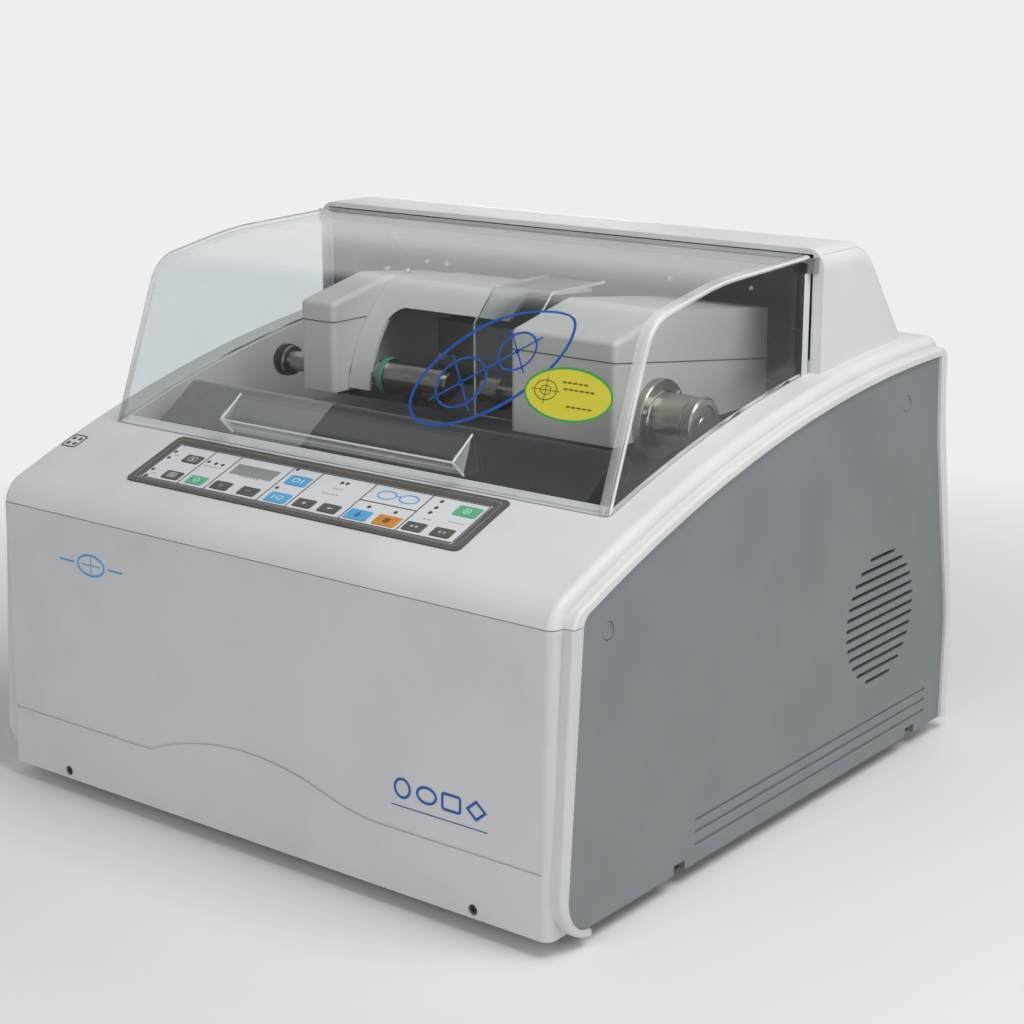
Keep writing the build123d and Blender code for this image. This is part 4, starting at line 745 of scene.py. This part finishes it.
keySigns = {
    "key_mode": (pale, [screen, ("disc", (0, 0), (2.4, 2.4))]),
    "key_program": (pale, [screen] + [("bar", (0, v), (4.4, 0.6)) for v in (-1.1, 0, 1.1)]),
    "key_start_left": (
        "inkMint",
        [("oval", (0, 0), (5.4, 5.4), {"line": 0.8}), ("wedge", (0, 0), (2.6, 2.6))],
    ),
    "key_size_plus": ("inkGrey", [("bar", (0, 0), (4.6, 0.9)), ("bar", (0, 0), (0.9, 4.6))]),
    "key_size_minus": ("inkGrey", [("bar", (0, 0), (4.6, 0.9))]),
    "key_lens_left": ("inkIce", lensBeside(1)),
    "key_lens_right": ("inkIce", lensBeside(-1)),
    "key_bevel_front": (pale, [("diamond", (0, 0), (3.2, 3.2))]),
    "key_bevel_rear": (
        pale,
        [("diamond", (0, 0), (3.2, 3.2), {"line": 0.7}), ("bar", (3, 0), (1.6, 0.7))],
    ),
    "key_water": ("inkNavy", [("disc", (0, -0.8), (4.2, 4.2)), ("wedge", (0, 1.5), (3.4, 4.4))]),
    "key_stop": ("inkUmber", [("box", (0, 0), (5.2, 5.2))]),
    "key_clamp": (pale, facing(90)),
    "key_release": (pale, facing(-90)),
    "key_start": (
        "inkMint",
        [("oval", (0, 0), (6.2, 6.2), {"line": 0.9}), ("wedge", (0, 0), (3, 3), {"turn": -90})],
    ),
}
for key, (ink, signs) in keySigns.items():
    middle, crest = topOf(key)
    moved = [(kind, (u + middle[0], v + middle[1]), *more) for kind, (u, v), *more in signs]
    printed(key + "_sign", "control", moved, crest, ink, key + "_cap", "overlay_grey")
print("keys signed")


weld = 0.00001  # metres, under which points are merged


def copyOf(node, name):
    copy = bpy.data.objects.new(name, nodes[node].data.copy())
    bpy.context.collection.objects.link(copy)
    copy.data.materials.clear()
    return copy


def welded(piece):
    # edit mode with everything selected and the doubled points merged
    choose(piece, "FACE", lambda place, normal: True)
    bpy.ops.mesh.select_all(action="SELECT")
    bpy.ops.mesh.remove_doubles(threshold=weld)


def skinned(piece, test, thick):
    # only the faces that pass the test stay, as a thin skin
    choose(piece, "FACE", lambda place, normal: not test(place, normal))
    bpy.ops.mesh.delete(type="FACE")
    bpy.ops.object.mode_set(mode="OBJECT")
    return applied(piece, "SOLIDIFY", thickness=thick * mm, offset=1)


def skinOf(node, name, test, finish, body, thick):
    # the faces of a CAD piece that pass the test, copied and lifted off it
    skin = copyOf(node, name)
    welded(skin)
    bpy.ops.object.mode_set(mode="OBJECT")
    return fitted(skinned(skin, test, thick), body, finish)


# cover: painted highlights, as pale skins, rods and strips on its cut edges, folds, grip and rear
# edges, and the drawings on it
cover = {
    "half": 236.0,
    "wall": 3.0,
    "fold": 4.0,
    "foldBand": 9.0,
    "lowest": 269.5,
    "foot": (-164.5, 275),  # y and z under which the front edge lies
    "rear": 76.5,
    "brow": 398,
    "sideTop": 340,
    "edgeLift": 0.12,
    "foldLift": 0.06,
    "grip": {
        "half": 111.0,
        "top": (-158.0, 305.0),
        "nose": (-179.6, 289.3),
        "heel": (-168.0, 278.0),
        "highlightRod": 0.8,
    },
    "rearHighlight": {"y": (69.5, 77.3), "z": (319, 400), "proud": 0.5, "edge": 0.2},
}


def coverEdge(place, normal):
    # the cut edges of the side walls, the rear and the foot, and the folds between front and sides
    out = abs(place.x)
    side = out > cover["half"] - cover["wall"] and abs(normal.x) < 0.3 and place.z < cover["brow"]
    fold = out > cover["half"] - cover["fold"] and 0.5 < abs(normal.x) < 0.87
    rear = normal.y > 0.9 and place.y > cover["rear"]
    foot = normal.z < -0.85 and place.y < cover["foot"][0] and place.z < cover["foot"][1]
    return side or fold or rear or foot


def coverFold(place, normal):
    # a band beside each fold, on the outside only, without the side walls and their cut edges
    out = abs(place.x)
    outer = (normal.z > 0.1 or normal.y < -0.3) and place.z > cover["lowest"]
    band = out > cover["half"] - cover["foldBand"] and outer and abs(normal.x) <= 0.95
    edge = out > cover["half"] - cover["wall"] - 0.5 and normal.z > 0.1 and abs(normal.x) < 0.1
    return band and not (edge and place.z < cover["sideTop"])


# painted highlight: pale skins over the cut edges of the cover and of the splash shield
skinOf(
    "clear_cover",
    "coverEdgeHighlights",
    coverEdge,
    "acrylicEdge",
    "cover",
    cover["edgeLift"],
)
skinOf(
    "splash_shield",
    "shieldEdgeHighlights",
    lambda place, normal: abs(normal.x) > 0.9 or normal.z < -0.9,
    "acrylicEdge",
    "head",
    cover["edgeLift"],
)
# painted highlight: pale bands on the outside, beside each fold of the cover
folds = copyOf("clear_cover", "coverFoldHighlights")
for side in (-1, 1):
    welded(folds)
    cutPlace = (side * (cover["half"] - cover["foldBand"]) * mm, 0, 0)
    bpy.ops.mesh.bisect(plane_co=cutPlace, plane_no=(1, 0, 0))
    bpy.ops.object.mode_set(mode="OBJECT")
fitted(skinned(folds, coverFold, cover["foldLift"]), "cover", "foldAcrylic")
# painted highlight: thin pale rods along each end of the grip and along its nose
highlightRods = []
grip = cover["grip"]
for side in (-1, 1):
    x = side * grip["half"]
    top, nose, heel = ((x, *grip[corner]) for corner in ("top", "nose", "heel"))
    highlightRods.append(addRod("highlightRod", top, nose, grip["highlightRod"]))
    highlightRods.append(addRod("highlightRod", nose, heel, grip["highlightRod"]))
ends = [(side * grip["half"], *grip["nose"]) for side in (-1, 1)]
highlightRods.append(addRod("highlightRod", *ends, grip["highlightRod"]))
fitted(joined("gripHighlightRods", highlightRods), "cover", "acrylicEdge", smooth=50)
# painted highlight: pale bands on the grip's end faces
skinOf(
    "clear_cover",
    "gripEndHighlights",
    lambda place, normal: abs(normal.x) > 0.9 and abs(abs(place.x) - grip["half"]) < 1,
    "foldAcrylic",
    "cover",
    cover["foldLift"],
)
# painted highlight: a pale strip standing proud at each rear vertical edge of the cover
rearHighlights = []
rearHighlight = cover["rearHighlight"]
for side in (-1, 1):
    across = sorted((side * cover["half"], side * (cover["half"] + rearHighlight["proud"])))
    rearHighlights.append(addBox("rearHighlight", across, rearHighlight["y"], rearHighlight["z"]))
fitted(joined("coverRearHighlights", rearHighlights), "cover", "acrylicEdge", edge=rearHighlight["edge"])
decal = {
    "middle": (113, 88),
    "size": (146, 62),
    "turn": 33,
    "line": 2.2,
    "thin": 1.6,
    "hair": 1.2,
    "lift": 0.3,
    # each lens: place, size, hub, and the lengths of its cross
    "lenses": [((-22, -14), (46, 34), 5, (58, 44)), ((20, 13), (34, 26), 4, (44, 34))],
}
u, w = decal["middle"]
turned = {"turn": decal["turn"]}
signs = [("oval", (u, w), decal["size"], {"line": decal["line"], **turned})]
for (du, dw), size, hub, (wide, high) in decal["lenses"]:
    place = (u + du, w + dw)
    signs.append(("oval", place, size, {"line": decal["thin"], **turned}))
    signs.append(("disc", place, (hub, hub)))
    signs.append(("bar", place, (wide, decal["hair"]), {**turned, "cuts": 3}))
    signs.append(("bar", place, (decal["hair"], high), {**turned, "cuts": 3}))
printed(
    "coverDecal",
    "coverFront",
    signs,
    decal["lift"],
    "inkUltramarine",
    "cover",
    "clear_plastic",
    onto="clear_cover",
)
label = {
    "middle": (182.5, 77),
    "size": (73, 37),
    "rim": 1.5,
    "lift": (0.1, 0.24),
    "sign": (-19, 1),
    "rows": {8: (-5, 5), 3.5: (-3, 6), -8: (2, 5)},  # height: start and count of its dashes
    "pitch": 4.4,
    "dash": (3.2, 1.1),
}
u, w = label["middle"]
oval = ("oval", (u, w), label["size"])
under, over = label["lift"]
printed("coverLabel", "coverFront", [oval], under, "inkLemon", "cover", "clear_plastic")
rim = [(*oval, {"line": label["rim"]})]
printed("coverLabelRim", "coverFront", rim, over, "inkLeaf", "cover", "clear_plastic")
place = (u + label["sign"][0], w + label["sign"][1])
signs = [
    ("oval", place, (19, 14), {"line": 0.6}),
    ("oval", place, (9, 7), {"line": 0.5}),
    ("bar", place, (24, 0.5)),
    ("bar", place, (0.5, 19)),
]
for row, (start, count) in label["rows"].items():
    for i in range(count):
        signs.append(("bar", (u + start + label["pitch"] * i, w + row), label["dash"]))
printed("coverLabelMarks", "coverFront", signs, over, "inkUmber", "cover", "clear_plastic")
print("cover dressed")


# front: a lens sign on the left, and the four lens shapes that the machine cuts on the right
front = {
    "sign": (-163, 175),
    "shapes": (139, 76),
    "pitch": 21,
    "line": 2,
    "lift": 0.05,
    "underline": {"drop": 13, "length": 3.9, "height": 0.8},  # its length in pitches
}
x, z = front["sign"]
signs = [
    ("oval", (x, z), (30, 17), {"line": 1.6}),
    ("bar", (x, z), (20, 0.8)),
    ("bar", (x, z), (0.8, 12)),
    ("bar", (x - 26, z), (16, 1.4)),
    ("bar", (x + 26, z), (16, 1.4)),
]
onPanel = ("base", "panel_light_grey", "front_panel")
printed("frontSign", "front", signs, front["lift"], "inkAzure", *onPanel)
x, z = front["shapes"]
step = front["pitch"]
outline = {"line": front["line"]}
under = front["underline"]
signs = [
    ("oval", (x, z), (15, 15), outline),
    ("oval", (x + step, z), (18, 13), outline),
    ("box", (x + 2 * step, z), (17, 13), outline),
    ("diamond", (x + 3 * step, z), (18, 15), outline),
    ("bar", (x + 1.5 * step, z - under["drop"]), (under["length"] * step, under["height"])),
]
printed("frontShapes", "front", signs, front["lift"], "inkUltramarine", *onPanel)
deck = {"sign": (-248, 2), "size": 17, "line": 1.4, "dots": (-3.4, 3.4), "dot": 3.4, "lift": 0.1}
x, v = deck["sign"]
signs = [("box", (x, v), (deck["size"], deck["size"]), {"line": deck["line"]})]
for du in deck["dots"]:
    signs += [("bar", (x + du, v + dv), (deck["dot"], deck["dot"])) for dv in deck["dots"]]
printed(
    "deckSign",
    "control",
    signs,
    deck["lift"],
    "inkCharcoal",
    "base",
    "casing_white",
    onto="upper_casing",
)
print("front and deck signed")


# screws: pan heads with a cross recess, modelled once and copied
screwHead = {
    # height and radius, as shares of its own
    "profile": [(-1, 1), (0.4, 1), (0.8, 0.85), (1, 0.5)],
    "sides": 28,
    "reach": 0.62,
    "arm": 0.14,
    "recess": (0.35, 2),
}


def cutOut(piece, x, y, z):
    cutter = addBox("cutter", x, y, z)
    applied(piece, "BOOLEAN", object=cutter, operation="DIFFERENCE", solver="EXACT")
    bpy.data.objects.remove(cutter)


def addScrew(name, radius, height):
    profile = [(height * up, radius * out) for up, out in screwHead["profile"]]
    head = addTurned(name, "Z", (0, 0, 0), profile, screwHead["sides"])
    recess = [height * up for up in screwHead["recess"]]
    spans = [[side * radius * screwHead[part] for side in (-1, 1)] for part in ("reach", "arm")]
    for turn in (0, 1):
        cutOut(head, spans[turn], spans[1 - turn], recess)
    return head


def screwed(name, radius, height, places, body, finish, stands=()):
    # places: the point under the head, and the way that it looks
    model = addScrew(name + "Model", radius, height)
    heads = []
    for point, way in places:
        turn = Vector(way).to_track_quat("Z", "Y").to_matrix().to_4x4()
        heads.append(copied(model, name, Matrix.Translation(Vector(point) * mm) @ turn))
    bpy.data.objects.remove(model)
    piece = fitted(joined(name, heads), body, finish)
    if stands:
        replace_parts(piece, *stands)


screws = {
    "front": {"x": (-197, 199.5), "y": -267, "z": 18, "radius": 3.6, "height": 2.4},
    "notch": {"x": 261.1, "y": (-127.5, 208.5), "z": 15.5, "radius": 3.2, "height": 2.4},
    "lid": {"radius": 2.6, "height": 1.6, "sunk": 0.3},
    "leftLid": [(x, y) for x in (-128, -107) for y in (30, 80)],
    "rightLid": [(x, 104) for x in (97, 171)],
    "rear": {"x": (-190, 190), "y": 233.3, "z": (44, 120, 196), "radius": 3.4, "height": 2.2},
}
at = screws["front"]
places = [((x, at["y"], at["z"]), (0, -1, 0)) for x in at["x"]]
stands = ["case_screws"]
screwed("frontScrews", at["radius"], at["height"], places, "base", "screwSteel", stands)
at = screws["notch"]
places = [((side * at["x"], y, at["z"]), (side, 0, 0)) for side in (-1, 1) for y in at["y"]]
screwed("notchScrews", at["radius"], at["height"], places, "base", "screwSteel", stands)
at = screws["lid"]
places = []
for lid, spots in (("left_arm_lid", screws["leftLid"]), ("right_arm_lid", screws["rightLid"])):
    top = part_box(lid)[1][2] / mm - at["sunk"]
    places += [((x, y, top), (0, 0, 1)) for x, y in spots]
screwed("lidScrews", at["radius"], at["height"], places, "head", "screwBright")
at = screws["rear"]
places = [((x, at["y"], z), (0, 1, 0)) for x in at["x"] for z in at["z"]]
screwed("rearScrews", at["radius"], at["height"], places, "base", "screwBright")

# rear panel: hose barb on the water inlet, earth stud, fuse cap and a blank plate
face = 233.4
rear = {
    "inlet": (-20, 210),
    "barb": [
        (face - 1, 11),
        (235.4, 11),
        (236, 10.4),
        (236, 6),
        (239, 6),
        (240, 4.6),
        (243, 5.6),
        (243.2, 4.2),
        (246, 5.4),
        (246.2, 4),
        (249, 5.2),
        (249.6, 4.6),
        (249.6, 2.6),
        (240, 2.6),
    ],
    "earth": (-60, 70),
    "stud": [
        (face - 1, 6),
        (234.6, 6),
        (234.6, 4.8),
        (237.6, 4.8),
        (237.6, 2),
        (243, 2),
        (243.4, 1.6),
    ],
    "fuse": (-60, 100),
    "cap": [(face - 1, 9), (235, 9), (235.6, 8.4), (235.6, 6.6), (241, 6.2), (241.6, 5.6)],
    "slot": {"half": (4.5, 0.7), "y": (240.2, 243)},
    "plate": {"x": (60, 150), "y": (face - 0.5, face + 0.7), "z": (150, 195), "edge": 0.4},
}
x, z = rear["inlet"]
barb = addTurned("hoseBarb", "Y", (x, 0, z), rear["barb"], 36)
fitted(barb, "base", "collarNickel")
x, z = rear["earth"]
stud = addTurned("earthStud", "Y", (x, 0, z), rear["stud"], 24)
fitted(stud, "base", "screwBright")
x, z = rear["fuse"]
fuse = addTurned("fuseCap", "Y", (x, 0, z), rear["cap"], 32)
wide, high = rear["slot"]["half"]
cutOut(fuse, (x - wide, x + wide), rear["slot"]["y"], (z - high, z + high))
fitted(fuse, "base", "knobPhenolic")
blank = rear["plate"]
plate = addBox("blankPlate", blank["x"], blank["y"], blank["z"])
fitted(plate, "base", "supplyZinc", edge=blank["edge"])
print("rear panel fitted")

# painted shade: a dark skin inside the hood, near-black discs behind the vents and near-black
# blocks behind the notch screws
hood = {"front": 83.5, "floor": 252, "side": 242.6, "lift": 0.15}


def hoodInside(place, normal):
    within = place.y > hood["front"] and place.z > hood["floor"] and abs(place.x) < hood["side"]
    return within and (normal.z < -0.2 or normal.y < -0.2 or normal.x * place.x < -1)


skinOf(
    "upper_casing",
    "hoodShadeSkin",
    hoodInside,
    "linerAbs",
    "base",
    hood["lift"],
)
vents = {
    "centre": (149.5, 127),
    "discs": ((1, 262.2, 47.4), (-1, 262.6, 53.5)),  # side, face, radius
    "thick": 0.4,
    "sides": 72,
}
notchShades = {"x": (262.2, 262.7), "half": 6.7, "z": (12.3, 18.8)}
gauze = []
for side, start, radius in vents["discs"]:
    centre = (side * start, *vents["centre"])
    profile = [(0, radius), (side * vents["thick"], radius)]
    gauze.append(addTurned("gauze", "X", centre, profile, vents["sides"]))
for side in (-1, 1):
    across = sorted(side * x for x in notchShades["x"])
    for y in screws["notch"]["y"]:
        span = (y - notchShades["half"], y + notchShades["half"])
        gauze.append(addBox("notchShade", across, span, notchShades["z"]))
fitted(joined("ventAndNotchShade", gauze), "base", "gauzeSteel")

# panel caps: shallow dished covers over the side panels' screws
panelCap = {
    "x": 265.5,
    "yz": ((-216, 210), (177, 290.5)),
    "profile": [(0, 6), (1.4, 6), (1.9, 5.5), (1.9, 4.4), (1.5, 4)],
    "sides": 40,
}
caps = []
for side in (-1, 1):
    profile = [(side * out, radius) for out, radius in panelCap["profile"]]
    for y, z in panelCap["yz"]:
        caps.append(addTurned("cap", "X", (side * panelCap["x"], y, z), profile, panelCap["sides"]))
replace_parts(fitted(joined("panelCaps", caps), "base", "sideAbs"), "case_screws")

# feet: a flat tread with a rounded lip and a hollow in its middle
foot = {
    "places": (-215, 215),
    "profile": [
        (2.6, 7),
        (0.6, 8.5),
        (0, 9.4),
        (0, 16.2),
        (1.2, 17.2),
        (4, 17.6),
        (4.6, 17),
        (5.4, 17),
        (6, 18),
        (12, 19),
    ],
    "sides": 48,
}
feet = []
for x in foot["places"]:
    for y in foot["places"]:
        feet.append(addTurned("foot", "Z", (x, y, 0), foot["profile"], foot["sides"]))
moulded = fitted(joined("mouldedFeet", feet), "base", "footRubber", smooth=40)
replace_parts(moulded, "rubber_feet")
print("screws, caps and feet in")


# loading head: painted shade as a dark skin under and inside the arch, and the shadow lines where
# each arm's lid meets its cover
arch = {"lowest": 300, "lift": 0.12}


def archInside(place, normal):
    return (normal.z < -0.3 and place.z > arch["lowest"]) or (normal.y > 0.3 and place.y < 0)


skinOf(
    "arch_cover",
    "archUndersideShade",
    archInside,
    "linerAbs",
    "head",
    arch["lift"],
)
seam = {
    "proud": 0.12,
    "half": 0.45,
    "corner": 4.6,
    "steps": 8,
    "arms": [
        # places across, from front to rear, and the seam's height at both ends
        ((-135, -100), (-66.5, 90), (347, 347)),
        ((88, 180), (-86.5, 113.5), (351.5, 325)),
    ],
}
seams = []
for x, y, (frontTop, rearTop) in seam["arms"]:
    proud, half = seam["proud"], seam["half"]
    slab = addBox("seam", (x[0] - proud, x[1] + proud), (y[0] - proud, y[1]), (-half, half))
    choose(slab, "EDGE", lambda place, way: abs(way.z) > 0.9 and place.y < y[0] + 1)
    bpy.ops.mesh.bevel(offset=seam["corner"] * mm, segments=seam["steps"])
    bpy.ops.object.mode_set(mode="OBJECT")
    for point in slab.data.vertices:
        share = (point.co.y / mm - y[0]) / (y[1] - y[0])
        point.co.z += (frontTop + (rearTop - frontTop) * share) * mm
    seams.append(slab)
fitted(joined("armSeams", seams), "head", "linerAbs")
print("loading head lined")


# clamp cylinder: a turned flange and barrel, its end cap, screws and air nipple
clampAxis = (0, -36.5, 304.5)
clamp = {
    "barrel": [
        (206, 12.8),
        (180, 12.8),
        (180, 29),
        (185.8, 29),
        (186.6, 28.2),
        (186.6, 21.2),
        (187.4, 20),
        (213, 20),
        (213.4, 19.3),
        (214.8, 19.3),
        (215.2, 20),
        (220.6, 20),
        (221.8, 18.8),
        (221.8, 14.6),
        (220.6, 13.8),
        (220.6, 6.5),
        (221.2, 6),
        (221.2, 2),
    ],
    "screws": {"turns": (40, 160, 280), "x": 186.7, "circle": 24.8, "radius": 2.6, "height": 2.0},
    "nipple": [(219, 3.6), (220.2, 3.6), (220.6, 2.6), (221.4, 3), (221.8, 2.4), (222, 1.2)],
    "nipplePlace": (0, clampAxis[1] + 12, clampAxis[2] - 11),
}
barrel = addTurned("clampBarrel", "X", clampAxis, clamp["barrel"], 96)
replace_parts(fitted(barrel, "head", "turnedSteel", smooth=30), "clamp_cylinder")
at = clamp["screws"]
places = []
for turn in at["turns"]:
    out = Matrix.Rotation(math.radians(turn), 3, "X") @ Vector((0, at["circle"], 0))
    places.append(((at["x"], clampAxis[1] + out.y, clampAxis[2] + out.z), (1, 0, 0)))
screwed("flangeScrews", at["radius"], at["height"], places, "head", "screwBright")
nipple = addTurned("airNipple", "X", clamp["nipplePlace"], clamp["nipple"], 32)
fitted(nipple, "head", "screwBright", smooth=40)

# lens shaft: its green grip ring, and the pattern knob with its collar on the left
shaft = {
    "ring": [(-72, 12.6), (-72, 14), (-71.2, 14.5), (-66.8, 14.5), (-66, 14), (-66, 12.6)],
    "knob": [
        (-176.2, 5),
        (-176.2, 12.2),
        (-177, 13),
        (-182, 13),
        (-183.4, 11.8),
        (-184, 9.5),
        (-183.4, 8.8),
        (-183.4, 3),
    ],
    "collar": [(-172, 5), (-172, 11.4), (-172.6, 12), (-175.4, 12), (-176, 11.4), (-176, 5)],
}
ring = addTurned("chuckRing", "X", clampAxis, shaft["ring"], 72)
fitted(ring, "lens_holder", "ringNitrile", smooth=50)
knob = addTurned("knobCap", "X", clampAxis, shaft["knob"])
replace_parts(fitted(knob, "lens_holder", "knobPhenolic", smooth=50), "pattern_knob")
collar = addTurned("knobCollar", "X", clampAxis, shaft["collar"])
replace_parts(fitted(collar, "lens_holder", "collarNickel", smooth=50), "pattern_knob")
print("clamp, chuck and knob turned")


# studio: a pale floor that turns to background, four soft lamps and an even sky
studio = {
    "floorSize": 60,
    "floor": "#F2F2F1",
    "fade": (0.45, 1.1),  # metres from the machine, over which the floor turns to background
    "paper": 0.86,
    "lamps": [
        # name, place in metres, size, power
        ("sideLamp", (2.2, -0.5, 0.7), 1.2, 7),
        ("topLamp", (0.9, -0.1, 1.5), 0.9, 14.5),
        ("frontLamp", (0.2, -2.7, 1.2), 1.8, 18),
        ("rearLamp", (-1.7, 2.2, 0.3), 0.6, 8),
    ],
    "sky": 0.26,
    "aim": (0, 0, 0.2),
    "behind": (-0.2, 0.6),  # how far to the rear a mirrored ray looks to see the background
}


def toCamera(tree, rays):
    # 1 for the rays that show the background, straight or through glass
    seen = [rays.outputs["Is Camera Ray"], rays.outputs["Is Transmission Ray"]]
    return reckoned(tree, "MAXIMUM", *seen)


deselect()
bpy.ops.mesh.primitive_plane_add(size=studio["floorSize"])
floor = takeOver("floor")
floorPaint, floorShader, floorPlace = startMaterial("floorPaint", studio["floor"], 0.6)
away = addNode(floorPaint, "VectorMath", {0: floorPlace}, operation="LENGTH")
fade = spread(floorPaint, away.outputs["Value"], span=studio["fade"])
floorSeen = toCamera(floorPaint, addNode(floorPaint, "LightPath"))
paper = addNode(floorPaint, "Emission", {"Color": (1, 1, 1, 1), "Strength": studio["paper"]})
floorShare = reckoned(floorPaint, "MULTIPLY", fade, floorSeen)
surfaced(floorPaint, layered(floorPaint, floorShare, floorShader.outputs[0], paper.outputs[0]))
floor.data.materials.append(floorPaint)
for name, place, size, power in studio["lamps"]:
    deselect()
    bpy.ops.object.light_add(type="AREA", location=place)
    lamp = bpy.context.object
    lamp.name = name
    lamp.data.size = size
    lamp.data.energy = power
    way = Vector(studio["aim"]) - Vector(place)
    lamp.rotation_euler = way.to_track_quat("-Z", "Y").to_euler()
world = bpy.data.worlds.new("studio")
bpy.context.scene.world = world
world.use_nodes = True
world.node_tree.nodes.clear()
rays = addNode(world, "LightPath")
way = addNode(world, "SeparateXYZ", {"Vector": addNode(world, "TexCoord").outputs["Generated"]})
behind = spread(world, way.outputs["Y"], span=studio["behind"])
mirrored = reckoned(world, "MULTIPLY", rays.outputs["Is Glossy Ray"], behind)
shown = reckoned(world, "MAXIMUM", toCamera(world, rays), mirrored)
strength = spread(world, shown, onto=(studio["sky"], studio["paper"]))
sky = addNode(world, "Background", {"Color": (1, 1, 1, 1), "Strength": strength})
addNode(world, "OutputWorld", {"Surface": sky.outputs[0]})
bpy.context.scene.view_settings.view_transform = "Standard"
print("studio lit")
